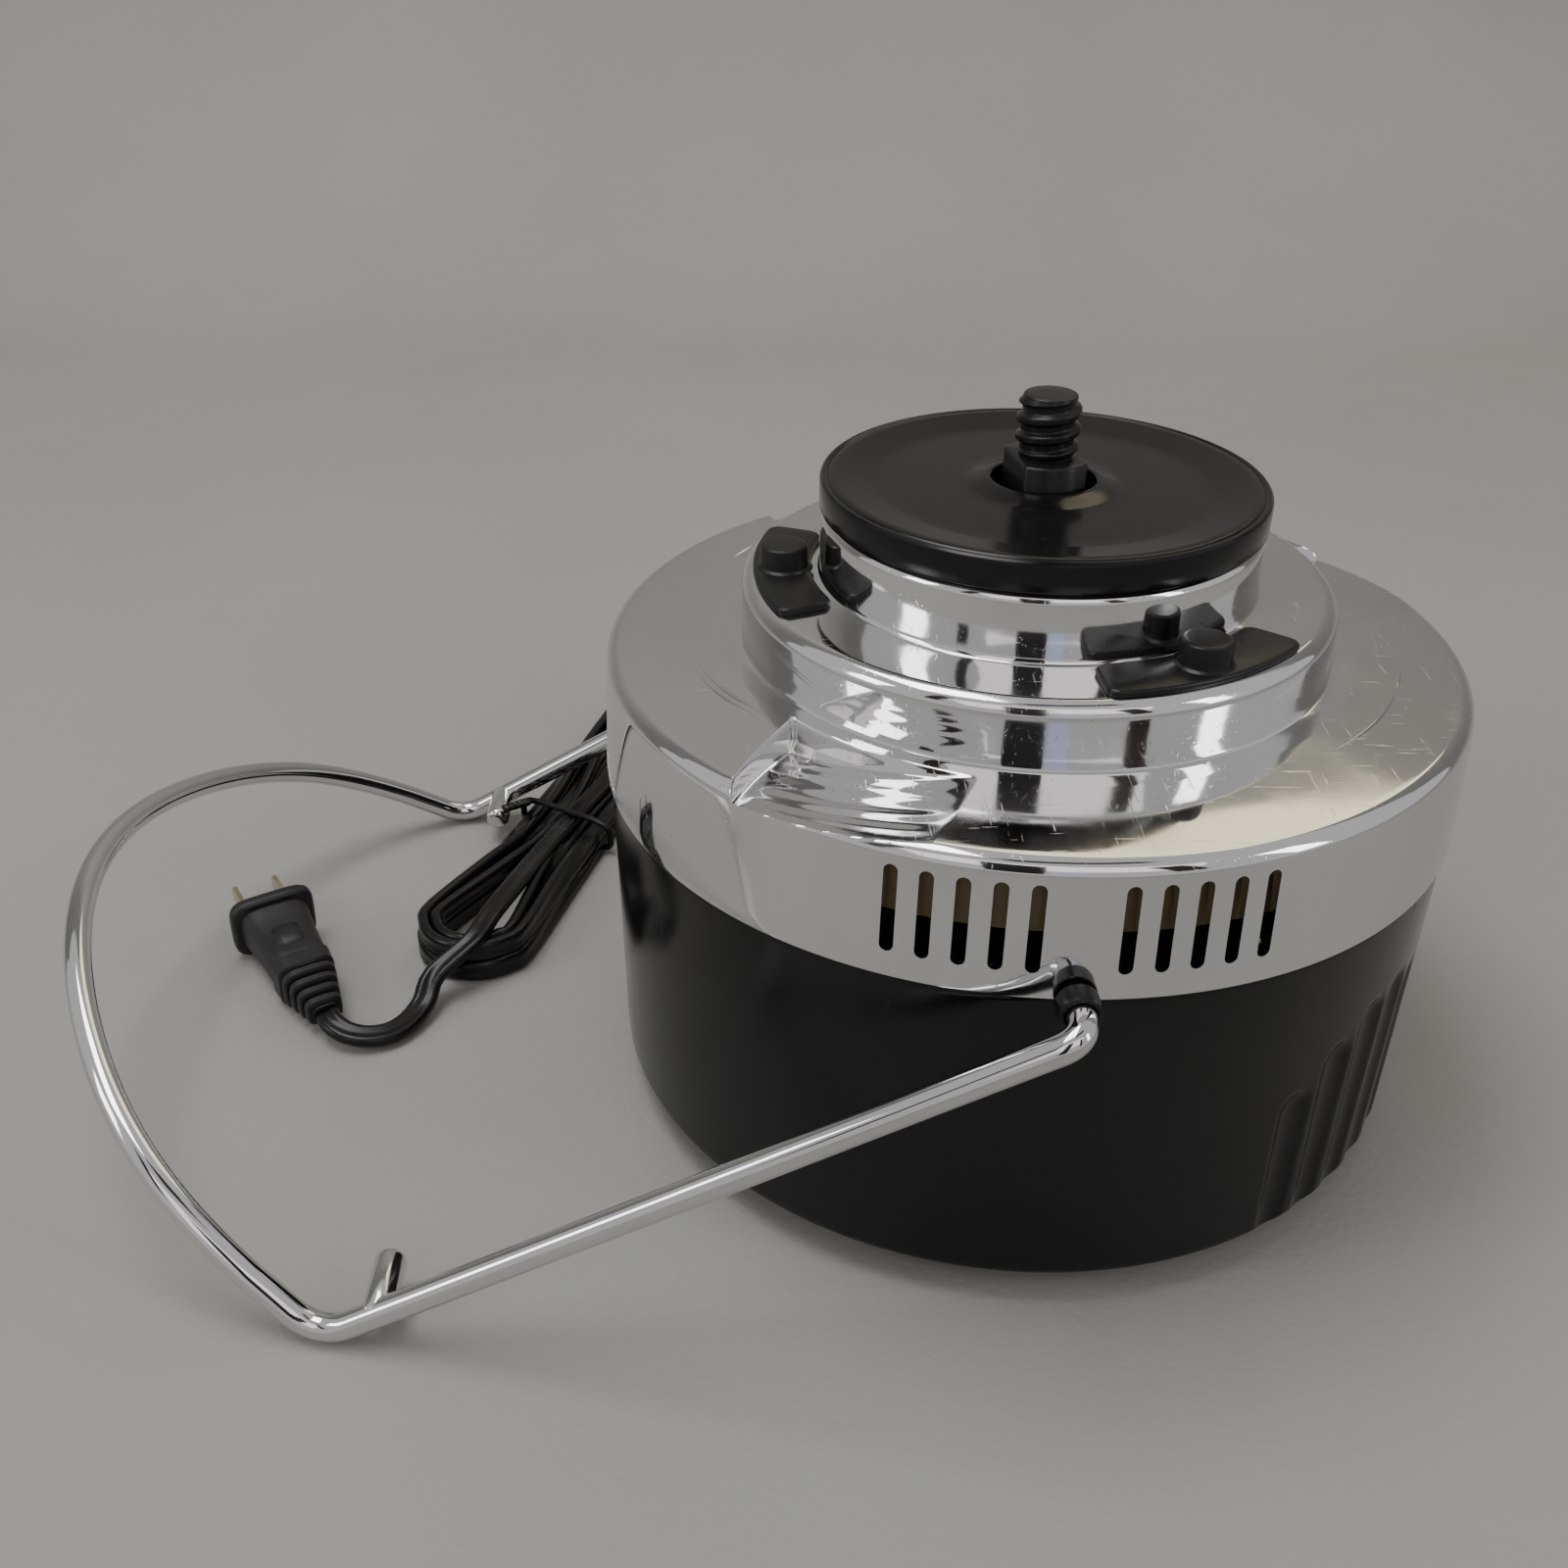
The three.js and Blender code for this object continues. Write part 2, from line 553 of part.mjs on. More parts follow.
function clampBail() {
  const armPoint = (s, t) => [
    PIVOT_X + (CORNER_X - PIVOT_X) * t,
    s * (PIVOT_HALF_SPAN + (CORNER_HALF_WIDTH - PIVOT_HALF_SPAN) * t),
    PIVOT_Z + (CORNER_Z - PIVOT_Z) * t,
  ];
  const lidPins = [-1, 1].map((s) => {
    const [x, y, z] = armPoint(s, LID_PIN_ALONG_ARM);
    const reach = LID_PIN_LENGTH;
    const pin = turned([[0, -1], [LID_PIN_R, -1], [LID_PIN_R, reach - 1], [LID_PIN_R - 1, reach], [0, reach]], 16);
    return pin.rotateX(s * Math.PI / 2).translate(x, y, z);
  });
  const tenons = [-1, 1].map((s) => rod([PIVOT_X, s * TENON_INNER_Y, PIVOT_Z],
    [PIVOT_X, s * (HOUSING_R_TOP + 5), PIVOT_Z], TENON_R, 14));
  return join(tube(bailPath(), WIRE_R, 10), ...lidPins, ...tenons);
}

add('clamp_bail', clampBail(), 'chrome');

[-1, 1].forEach((s, i) => {
  const sleeve = turned([
    [TENON_R + GAP, HOUSING_R_TOP - 6.5],
    [3.8, HOUSING_R_TOP - 6.5],
    [3.8, CUFF_INNER_Y],
    [CUFF_R, CUFF_INNER_Y],
    [CUFF_R, CUFF_OUTER_Y],
    [WIRE_R + GAP, CUFF_OUTER_Y],
    [WIRE_R + GAP, HOUSING_R_TOP + 3.2],
    [TENON_R + GAP, HOUSING_R_TOP + 3.2],
  ], 20);
  add(`pivot_sleeve_${i + 1}`, sleeve.rotateX(-s * Math.PI / 2).translate(PIVOT_X, 0, PIVOT_Z), 'blackPlastic');
  const collar = ring(TENON_R + GAP, 6, TENON_INNER_Y + 0.4, HOUSING_R_TOP - 6.8, 20);
  add(`pivot_collar_${i + 1}`, collar.rotateX(-s * Math.PI / 2).translate(PIVOT_X, 0, PIVOT_Z), 'steel');
});

// ---------------------------------------------------------------- motor
const BOLT_AZIMUTHS_DEG = [0, 90, 180, 270];
const BOLT_CIRCLE_R = 49;
const BEARING_R = 13;
const BELL_HEIGHT = CHASSIS_Z[0] - GAP - STATOR_Z[1];

// Drills for a circle of equal holes.
function drills(azimuths, circleR, holeR, z0, z1) {
  return azimuths.map((a) => {
    const [x, y] = polar(circleR, a);
    return disc(holeR, z0, z1, 8).translate(x, y, 0);
  });
}

function chassisPlate() {
  const plate = ring(18, CHASSIS_R, ...CHASSIS_Z, 40);
  const airHoles = drills([45, 135, 225, 315], 70, 13, 80, 90);
  const screwHoles = drills(BOSS_AZIMUTHS_DEG, BOSS_CIRCLE_R, 2.1, 80, 90);
  return cut(plate, ...airHoles, ...screwHoles, ...drills(BOLT_AZIMUTHS_DEG, BOLT_CIRCLE_R, 2.4, 80, 90));
}

// The upper end bell, its flange resting on the stator and its bearing seat above.
function endBell() {
  const [seat, top] = [BELL_HEIGHT - 10, BELL_HEIGHT];
  const bell = turned([
    [BEARING_R + GAP, seat], [BEARING_R + 4, seat], [BEARING_R + 4, top - 3], [STATOR_R - 3.5, top - 3],
    [STATOR_R - 3.5, GAP], [STATOR_R + 8, GAP], [STATOR_R + 8, 6], [STATOR_R, 6],
    [STATOR_R, top], [6.5, top], [6.5, top - 2.4], [BEARING_R + GAP, top - 2.4],
  ], 24);
  return cut(bell, ...drills(BOLT_AZIMUTHS_DEG, BOLT_CIRCLE_R, 2.4, -5, 30));
}

const bearing = () => ring(SHAFT_R + GAP, BEARING_R, BELL_HEIGHT - 9.7, BELL_HEIGHT - 2.7, 20);
const winding = () => turned([[29.5, GAP], [39, GAP], [40, 2], [40, 7], [38, 9], [31, 9], [29.5, 7]], 20);

function motorBolt(azimuthDeg) {
  const [x, y] = polar(BOLT_CIRCLE_R, azimuthDeg);
  const head = CHASSIS_Z[1] + GAP;
  const outline = [[0, 30], [2, 30], [2, head], [4, head], [4, head + 2], [3.4, head + 2.6], [0, head + 2.6]];
  return turned(outline, 8).translate(x, y, 0);
}

function coolingFan() {
  const hub = turned([[SHAFT_R + GAP, 98], [48, 98], [48, 99.5], [12, 99.5], [12, 112], [SHAFT_R + GAP, 112]], 28);
  const blades = Array.from({ length: 8 }, (_, i) => block([11, 46], [-0.8, 0.8], [99, 111]).rotateZ(rad(45 * i)));
  return join(hub, ...blades);
}

const above = (geometry) => geometry.translate(0, 0, STATOR_Z[1]);
const below = (geometry) => geometry.rotateX(Math.PI).translate(0, 0, STATOR_Z[0]);

add('chassis_plate', chassisPlate(), 'steel');
add('upper_bell', above(endBell()), 'aluminium');
add('lower_bell', below(endBell()), 'aluminium');
add('upper_bearing', above(bearing()), 'steel');
add('lower_bearing', below(bearing()), 'steel');
add('upper_winding', above(winding()), 'copper');
add('lower_winding', below(winding()), 'copper');
add('stator', ring(ROTOR_R + 0.8, STATOR_R, ...STATOR_Z, 28), 'laminations');
add('rotor', ring(SHAFT_R + GAP, ROTOR_R, STATOR_Z[0] - 2, STATOR_Z[1] + 2, 28), 'laminations');
add('motor_shaft', disc(SHAFT_R, 21, 176, 16), 'steel');
add('cooling_fan', coolingFan(), 'nylon');
BOLT_AZIMUTHS_DEG.forEach((a, i) => add(`motor_bolt_${i + 1}`, motorBolt(a), 'steel'));

// ---------------------------------------------------------------- wiring
// A switch that runs the motor only while the bail is clamped: its plunger feels the pivot collar.
function interlockSwitch() {
  const body = block([PIVOT_X - 11, PIVOT_X + 11], [-94, -84], [CHASSIS_Z[1] + GAP, 102]);
  return join(body, rod([PIVOT_X, -90, PIVOT_Z], [PIVOT_X, -TENON_INNER_Y + 0.4, PIVOT_Z], 1.5, 10));
}

function terminalBlock() {
  const body = block([58, 76], [-14, 14], [HOUSING_Z0 + 2.2 + GAP, 32]);
  return cut(body, ...[-8, 0, 8].map((y) => disc(2.2, 24, 40, 12).translate(67, y, 0)))
    .rotateZ(rad(CORD_EXIT_AZIMUTH_DEG));
}

add('interlock_switch', interlockSwitch(), 'blackPlastic');
add('terminal_block', terminalBlock(), 'nylon');

// ---------------------------------------------------------------- mains lead
const RELIEF_TIP_R = 144;
const hankAt = (t) => HANK_ENDS[0].map((v, i) => v + (HANK_ENDS[1][i] - v) * t);
const HANK_AZIMUTH_DEG = THREE.MathUtils.radToDeg(
  Math.atan2(HANK_ENDS[1][1] - HANK_ENDS[0][1], HANK_ENDS[1][0] - HANK_ENDS[0][0]));

// From the strain relief down to the table and round into the back of the hank.
const EXIT_ROUTE = [
  [-39.8, 138.7, 26], [-42.2, 147.1, 25.3], [-44.7, 155.7, 23.2], [-47.1, 164.4, 20],
  [-49.6, 173, 16], [-52.1, 181.7, 12.2], [-56.3, 190.4, 9.2], [-63.8, 197.8, 7.2],
  [-73.4, 202, 6.2], [-83.4, 202.6, 5.9], [-91.4, 199.9, 6], [-97, 195.1, 6.2],
];

// From the front of the hank round to the plug's tail.
const PLUG_TAIL = [-198.5, -2.5, 7];
const PLUG_FACE = [-225.2, 41.9, 10.9];
const LEAD_ROUTE = [
  [-166.3, 20, 6.2], [-168.9, 12.2, 4.9], [-171.4, 4.6, 4], [-174.8, -2.8, 3.7],
  [-179.6, -7.9, 3.7], [-185.9, -9.9, 4.1], [-192, -9.1, 5.2], [-196.3, -6.3, 6.4], [-198.1, -3.2, 6.9],
];

function cordRelief() {
  const outline = [[0, 103.4], [7, 103.4], [7, 105.9], [5, 105.9], [5, 109.9], [7.6, 109.9], [7.6, 112.2],
    [6.4, 113], [4.4, RELIEF_TIP_R], [0, RELIEF_TIP_R]];
  const relief = turned(outline, 16).rotateY(Math.PI / 2).rotateZ(rad(CORD_EXIT_AZIMUTH_DEG));
  return relief.translate(0, 0, CORD_EXIT_Z);
}

function cordHank() {
  const [[ax, ay], [bx, by]] = HANK_ENDS;
  const a = HANK_AZIMUTH_DEG;
  const front = arc(ax, ay, HANK_END_R[0], a + 90, a + 270, 10);
  const back = arc(bx, by, HANK_END_R[1], a - 90, a + 90, 10);
  return raised([...front, ...back], ...HANK_Z);
}

// A flat strap round the hank, with its twisted end on top.
function cordTie() {
  const half = THREE.MathUtils.lerp(...HANK_END_R, TIE_AT) + 2 * GAP;
  const [z0, z1] = [HANK_Z[0] - GAP, HANK_Z[1] + GAP];
  const strap = cut(block([-1.5, 1.5], [-half - 1, half + 1], [0.1, z1 + 1]),
    block([-3, 3], [-half, half], [z0, z1]));
  const knot = rod([0, half - 6, z1 + 1.2], [-7, half - 3, z1 + 1.6], 1.3, 8);
  const [x, y] = hankAt(TIE_AT);
  return join(strap, knot).rotateZ(rad(HANK_AZIMUTH_DEG)).translate(x, y, 0);
}

// Plug pieces are drawn along +Z from the tail, then laid towards the blades.
const PLUG_SPAN = new THREE.Vector3(...PLUG_FACE).sub(new THREE.Vector3(...PLUG_TAIL));
const PLUG_LENGTH = PLUG_SPAN.length();

function laidPlug(geometry) {
  const tilt = Math.asin(PLUG_SPAN.z / PLUG_LENGTH);
  geometry.rotateY(Math.PI / 2 - tilt).rotateZ(Math.atan2(PLUG_SPAN.y, PLUG_SPAN.x));
  return geometry.translate(...PLUG_TAIL);
}

// A slab of rounded rectangular section, height by width, from z0 to z1.
function slab(height, width, round, z0, z1) {
  const [h, w] = [height / 2 - round, width / 2 - round];
  const corners = [[h, w, 0], [-h, w, 90], [-h, -w, 180], [h, -w, 270]];
  return raised(corners.flatMap(([x, y, a]) => arc(x, y, round, a, a + 90, 3)), z0, z1);
}

function plugBody() {
  const flange = slab(20.4, 26, 4, PLUG_LENGTH - 4.4, PLUG_LENGTH);
  const grip = slab(14.5, 20, 4, 22, PLUG_LENGTH - 4);
  const shoulder = slab(15.5, 18, 2.5, 16.5, 23);
  const core = slab(7, 8.4, 2, 0, 17);
  const ribs = [0, 1, 2, 3].map((i) => slab(9 + 1.5 * i, 10.5 + 1.7 * i, 2, 0.8 + 4.1 * i, 3.6 + 4.1 * i));
  return laidPlug(join(flange, grip, shoulder, core, ...ribs));
}

function plugBlade(side) {
  const start = PLUG_LENGTH + GAP;
  const outline = [[-3.17, 0], [3.17, 0], [3.17, 15.6], [1.9, 17.3], [-1.9, 17.3], [-3.17, 15.6]];
  const blade = raised(outline, -0.75, 0.75).rotateX(Math.PI / 2);
  return laidPlug(blade.translate(0, side * 6.35, start));
}

add('cord_relief', cordRelief(), 'cordPvc');
add('cord_exit', tube(EXIT_ROUTE, CORD_R, 8), 'cordPvc');
add('cord_hank', cordHank(), 'cordPvc');
add('cord_tie', cordTie(), 'cordPvc');
add('cord_lead', tube(LEAD_ROUTE, CORD_R, 8), 'cordPvc');
add('plug_body', plugBody(), 'cordPvc');
[-1, 1].forEach((side, i) => add(`plug_blade_${i + 1}`, plugBlade(side), 'brass'));

machine.position.x = -ORIGIN_X;
export default machine;
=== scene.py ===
"""Looks of the juice extractor's motor base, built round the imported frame.

Shapes are written in millimetres from the drive axis and the table, as in part.mjs,
and place() turns them into the frame's metres."""
import json
import math
import random

import bmesh
import bpy
from mathutils import Matrix, Vector


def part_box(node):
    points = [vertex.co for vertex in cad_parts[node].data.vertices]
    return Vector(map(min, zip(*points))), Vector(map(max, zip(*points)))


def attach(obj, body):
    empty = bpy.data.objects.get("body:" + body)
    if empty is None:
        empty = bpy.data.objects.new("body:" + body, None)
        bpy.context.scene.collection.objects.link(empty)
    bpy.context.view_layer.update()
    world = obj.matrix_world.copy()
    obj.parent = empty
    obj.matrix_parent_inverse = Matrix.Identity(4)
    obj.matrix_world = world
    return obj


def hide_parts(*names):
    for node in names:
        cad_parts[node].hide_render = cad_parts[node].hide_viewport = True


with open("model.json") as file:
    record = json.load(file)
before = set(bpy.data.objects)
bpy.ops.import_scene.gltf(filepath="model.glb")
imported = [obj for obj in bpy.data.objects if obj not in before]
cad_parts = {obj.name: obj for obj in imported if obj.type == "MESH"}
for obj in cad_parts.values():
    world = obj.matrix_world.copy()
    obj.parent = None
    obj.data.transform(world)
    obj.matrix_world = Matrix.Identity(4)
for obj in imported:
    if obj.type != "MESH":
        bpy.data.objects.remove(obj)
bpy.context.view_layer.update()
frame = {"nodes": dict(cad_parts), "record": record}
CAP_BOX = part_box("cap_disc")
AXIS_X = (CAP_BOX[0][0] + CAP_BOX[1][0]) / 2
MM = 0.001


# ---------------------------------------------------------------- helpers
def place(p):
    return Vector((p[0] * MM + AXIS_X, p[1] * MM, p[2] * MM))


def lerp(a, b, t):
    return a + (b - a) * t


def clamp01(t):
    return min(1.0, max(0.0, t))


def smooth01(t):
    t = clamp01(t)
    return t * t * (3 - 2 * t)


def polar(r, azimuth, z=0.0):
    a = math.radians(azimuth)
    return (r * math.cos(a), r * math.sin(a), z)


def arc(r, z, radius, a0, a1, steps=6):
    """Points of an arc in the (r, z) plane, from angle a0 to a1 in degrees."""
    angles = [math.radians(lerp(a0, a1, i / steps)) for i in range(steps + 1)]
    return [(r + radius * math.cos(a), z + radius * math.sin(a)) for a in angles]


def finer(profile, step):
    """The profile with its straight stretches split into steps of at most that size."""
    out = [profile[0]]
    for a, b in zip(profile, profile[1:]):
        n = max(1, math.ceil(math.dist(a, b) / step))
        out += [tuple(lerp(p, q, i / n) for p, q in zip(a, b)) for i in range(1, n + 1)]
    return out


def grid(rows, close_rows=False, close_columns=True, caps=False):
    """Vertices and quads of a sheet of rows, each row a list of points."""
    n, m = len(rows), len(rows[0])
    verts = [p for row in rows for p in row]
    faces = []
    for i in range(n if close_rows else n - 1):
        for j in range(m if close_columns else m - 1):
            a, b = i * m + j, i * m + (j + 1) % m
            c, d = ((i + 1) % n) * m + (j + 1) % m, ((i + 1) % n) * m + j
            faces.append((a, b, c, d))
    if caps:
        faces.append(tuple(range(m - 1, -1, -1)))
        faces.append(tuple((n - 1) * m + j for j in range(m)))
    return verts, faces


def turned(profile, segments=160, closed=False):
    """A turned form about the vertical axis. Its ends are capped unless the profile closes on itself."""
    rows = [[polar(r, 360 * j / segments, z) for j in range(segments)] for r, z in profile]
    return grid(rows, close_rows=closed, caps=not closed)


def sweep(points, section, roll=None):
    """A section carried along a path, with capped ends.

    section(t) gives (across, up) points and roll(t) turns it, t from 0 to 1."""
    path = [Vector(p) for p in points]
    last = len(path) - 1
    rows = []
    for i, p in enumerate(path):
        t = i / last
        along = (path[min(i + 1, last)] - path[max(i - 1, 0)]).normalized()
        across = along.cross(Vector((0, 0, 1)))
        across = across.normalized() if across.length > 1e-6 else Vector((1, 0, 0))
        up = across.cross(along)
        turn = roll(t) if roll else 0.0
        a = across * math.cos(turn) + up * math.sin(turn)
        b = up * math.cos(turn) - across * math.sin(turn)
        rows.append([p + a * x + b * y for x, y in section(t)])
    return grid(rows, caps=True)


def circle(radius, sides=24):
    angles = [2 * math.pi * j / sides for j in range(sides)]
    return [(radius * math.cos(a), radius * math.sin(a)) for a in angles]


def moved(shape, matrix):
    verts, faces = shape
    return [matrix @ Vector(p) for p in verts], faces


def joined(*shapes):
    verts, faces = [], []
    for v, f in shapes:
        faces += [tuple(i + len(verts) for i in face) for face in f]
        verts += v
    return verts, faces


def catmull(points, step):
    """A smooth curve through the points, sampled about every step."""
    pts = [Vector(p) for p in points]
    size = len(pts[0])
    ends = [pts[0] * 2 - pts[1]] + pts + [pts[-1] * 2 - pts[-2]]
    out = []
    for i in range(1, len(ends) - 2):
        p0, p1, p2, p3 = ends[i - 1 : i + 3]
        n = max(2, round((p2 - p1).length / step))
        for k in range(n):
            t = k / n
            out.append(Vector([
                0.5 * (2 * p1[c] + (p2[c] - p0[c]) * t
                       + (2 * p0[c] - 5 * p1[c] + 4 * p2[c] - p3[c]) * t * t
                       + (3 * p1[c] - p0[c] - 3 * p2[c] + p3[c]) * t ** 3) for c in range(size)]))
    return out + [pts[-1]]


def piece(name, shape, material, body="base", replaces=(), sharp=32, bevel=0.0):
    """A mesh piece from millimetre geometry, riding on a body."""
    verts, faces = shape
    mesh = bpy.data.meshes.new(name)
    mesh.from_pydata([place(v) for v in verts], [], faces)
    bm = bmesh.new()
    bm.from_mesh(mesh)
    bmesh.ops.recalc_face_normals(bm, faces=bm.faces)
    bm.to_mesh(mesh)
    bm.free()
    mesh.polygons.foreach_set("use_smooth", [True] * len(mesh.polygons))
    mesh.set_sharp_from_angle(angle=math.radians(sharp))
    obj = bpy.data.objects.new(name, mesh)
    bpy.context.scene.collection.objects.link(obj)
    obj.data.materials.append(material)
    if bevel:
        add_bevel(obj, bevel)
    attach(obj, body)
    if replaces:
        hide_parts(*replaces)
    return obj


def add_bevel(obj, width):
    mod = obj.modifiers.new("edges", "BEVEL")
    mod.width = width * MM
    mod.segments = 3
    mod.limit_method = "ANGLE"
    mod.angle_limit = math.radians(35)
    mod.harden_normals = True


# ---------------------------------------------------------------- camera
def make_camera():
    data = bpy.data.cameras.new("camera")
    camera = bpy.data.objects.new("camera", data)
    bpy.context.scene.collection.objects.link(camera)
    forward = Vector((0.02644, 0.85893, -0.51142)).normalized()
    right = forward.cross(Vector((0, 0, 1))).normalized()
    up = right.cross(forward)
    roll = 0.00746
    right, up = (right * math.cos(roll) + up * math.sin(roll), up * math.cos(roll) - right * math.sin(roll))
    camera.matrix_world = Matrix.Translation(place((-75.25, -375.06, 306.33))) @ Matrix(
        (right, up, -forward)).transposed().to_4x4()
    data.lens = 36.48
    data.sensor_width = 36
    data.clip_start = 0.01
    bpy.context.scene.camera = camera


make_camera()


# ---------------------------------------------------------------- materials
class Graph:
    """Short names for the nodes of one material."""

    def __init__(self, name):
        self.material = bpy.data.materials.new(name)
        self.material.use_nodes = True
        self.tree = self.material.node_tree
        self.shader = self.tree.nodes["Principled BSDF"]
        self.where = self.tree.nodes.new("ShaderNodeTexCoord").outputs["Object"]

    def link(self, a, b):
        self.tree.links.new(a, b)

    def stretched(self, scale):
        node = self.tree.nodes.new("ShaderNodeMapping")
        node.inputs["Scale"].default_value = scale
        self.link(self.where, node.inputs["Vector"])
        return node.outputs["Vector"]

    def noise(self, scale, detail=4.0, vector=None, rough=0.55):
        node = self.tree.nodes.new("ShaderNodeTexNoise")
        node.inputs["Scale"].default_value = scale
        node.inputs["Detail"].default_value = detail
        node.inputs["Roughness"].default_value = rough
        self.link(vector or self.where, node.inputs["Vector"])
        return node.outputs["Fac"]

    def ranged(self, value, low, high, to_low, to_high):
        node = self.tree.nodes.new("ShaderNodeMapRange")
        for key, number in zip(("From Min", "From Max", "To Min", "To Max"), (low, high, to_low, to_high)):
            node.inputs[key].default_value = number
        self.link(value, node.inputs["Value"])
        return node.outputs["Result"]

    def sum(self, a, b, operation="ADD"):
        node = self.tree.nodes.new("ShaderNodeMath")
        node.operation = operation
        node.use_clamp = operation == "ADD"
        self.link(a, node.inputs[0])
        self.link(b, node.inputs[1])
        return node.outputs["Value"]

    def mixed(self, fac, a, b):
        node = self.tree.nodes.new("ShaderNodeMix")
        node.data_type = "RGBA"
        node.inputs["A"].default_value = (*a, 1)
        node.inputs["B"].default_value = (*b, 1)
        self.link(fac, node.inputs["Factor"])
        return node.outputs["Result"]

    def bump(self, height, strength, distance):
        node = self.tree.nodes.new("ShaderNodeBump")
        node.inputs["Strength"].default_value = strength
        node.inputs["Distance"].default_value = distance
        self.link(height, node.inputs["Height"])
        self.link(node.outputs["Normal"], self.shader.inputs["Normal"])


def chrome(name, tint, low=0.045, high=0.16, scratches=True):
    """Bright plating with smudges, faint ripples and fine scratches."""
    g = Graph(name)
    g.shader.inputs["Metallic"].default_value = 1.0
    smudge = g.ranged(g.noise(28, 6), 0.42, 0.72, low, high)
    darker = tuple(c * 0.9 for c in tint)
    g.link(g.mixed(g.ranged(g.noise(9, 3), 0.35, 0.65, 0, 1), tint, darker), g.shader.inputs["Base Color"])
    if scratches:
        fine = g.ranged(g.noise(1, 3, g.stretched((1500, 60, 700))), 0.66, 0.74, 0, 0.22)
        cross = g.ranged(g.noise(1, 3, g.stretched((70, 1300, 900))), 0.67, 0.75, 0, 0.22)
        marks = g.sum(fine, cross)
        g.link(g.sum(smudge, marks), g.shader.inputs["Roughness"])
        ripple = g.sum(g.ranged(g.noise(22, 2), 0, 1, 0, 0.6), marks)
        g.bump(ripple, 0.12, 0.0004)
    else:
        g.link(smudge, g.shader.inputs["Roughness"])
        g.bump(g.noise(60, 2), 0.06, 0.0004)
    return g.material


def plastic(name, dark, light, low, high, grain=2600, strength=0.12, dust=0.35):
    """Moulded plastic: fine spark texture, mottled gloss, pale dust and rubbed scratches."""
    g = Graph(name)
    specks = g.ranged(g.noise(520, 5), 0.60, 0.78, 0, dust)
    wide = g.ranged(g.noise(14, 5), 0.40, 0.75, 0, 0.5)
    g.link(g.mixed(g.sum(specks, wide), dark, light), g.shader.inputs["Base Color"])
    rubbed = g.ranged(g.noise(1, 3, g.stretched((500, 500, 45))), 0.62, 0.75, 0, 0.14)
    g.link(g.sum(g.ranged(g.noise(32, 5), 0.35, 0.7, low, high), rubbed), g.shader.inputs["Roughness"])
    g.bump(g.noise(grain, 2), strength, 0.0002)
    g.shader.inputs["Specular IOR Level"].default_value = 0.32
    return g.material


def metal(name, tint, low, high, stretch=(40, 40, 900), strength=0.1):
    """Bare worked metal with a lay of fine marks and duller patches."""
    g = Graph(name)
    g.shader.inputs["Metallic"].default_value = 1.0
    lay = g.noise(1, 4, g.stretched(stretch))
    dull = tuple(c * 0.7 for c in tint)
    g.link(g.mixed(g.ranged(g.noise(60, 5), 0.4, 0.7, 0, 1), tint, dull), g.shader.inputs["Base Color"])
    g.link(g.ranged(lay, 0.3, 0.7, low, high), g.shader.inputs["Roughness"])
    g.bump(lay, strength, 0.0002)
    return g.material


LOOKS = {
    "chrome_shell": chrome("chrome_shell", (0.76, 0.76, 0.765)),
    "bail_chrome": chrome("bail_chrome", (0.74, 0.74, 0.74), 0.05, 0.14, scratches=False),
    "housing_black": plastic(
        "housing_black", (0.0025, 0.0025, 0.003), (0.012, 0.012, 0.013), 0.08, 0.20, dust=0.2),
    "foot_rubber": plastic("foot_rubber", (0.012, 0.012, 0.012), (0.05, 0.05, 0.048), 0.6, 0.8, 900),
    "screw_steel": metal("screw_steel", (0.55, 0.55, 0.56), 0.25, 0.5),
    "cap_black": plastic("cap_black", (0.003, 0.003, 0.0035), (0.014, 0.014, 0.014), 0.10, 0.22, dust=0.25),
    "spindle_black": plastic("spindle_black", (0.004, 0.004, 0.0045), (0.018, 0.018, 0.018), 0.2, 0.36),
    "pad_rubber": plastic("pad_rubber", (0.005, 0.005, 0.0055), (0.022, 0.022, 0.021), 0.26, 0.45, 1400),
    "seal_rubber": plastic("seal_rubber", (0.012, 0.012, 0.012), (0.04, 0.04, 0.04), 0.6, 0.8, 900),
    "plate_steel": metal("plate_steel", (0.5, 0.5, 0.5), 0.3, 0.55),
    "sleeve_black": plastic("sleeve_black", (0.005, 0.005, 0.005), (0.02, 0.02, 0.02), 0.2, 0.4),
    "bell_aluminium": metal("bell_aluminium", (0.55, 0.56, 0.57), 0.4, 0.65, (300, 300, 300), 0.4),
    "winding_copper": metal("winding_copper", (0.55, 0.22, 0.09), 0.25, 0.45, (60, 60, 1500), 0.8),
    "core_steel": metal("core_steel", (0.22, 0.23, 0.24), 0.45, 0.65, (20, 20, 2200), 0.6),
    "fan_nylon": plastic("fan_nylon", (0.62, 0.60, 0.53), (0.72, 0.70, 0.64), 0.4, 0.55),
    "liner_tan": plastic("liner_tan", (0.16, 0.125, 0.06), (0.22, 0.175, 0.09), 0.35, 0.5),
    "cord_black": plastic(
        "cord_black", (0.004, 0.004, 0.0045), (0.02, 0.02, 0.021), 0.2, 0.36, 1200, dust=0.3),
    "plug_black": plastic("plug_black", (0.01, 0.01, 0.011), (0.04, 0.04, 0.042), 0.34, 0.52, 1600),
    "blade_brass": metal("blade_brass", (0.72, 0.63, 0.42), 0.2, 0.42, (60, 60, 900), 0.15),
}


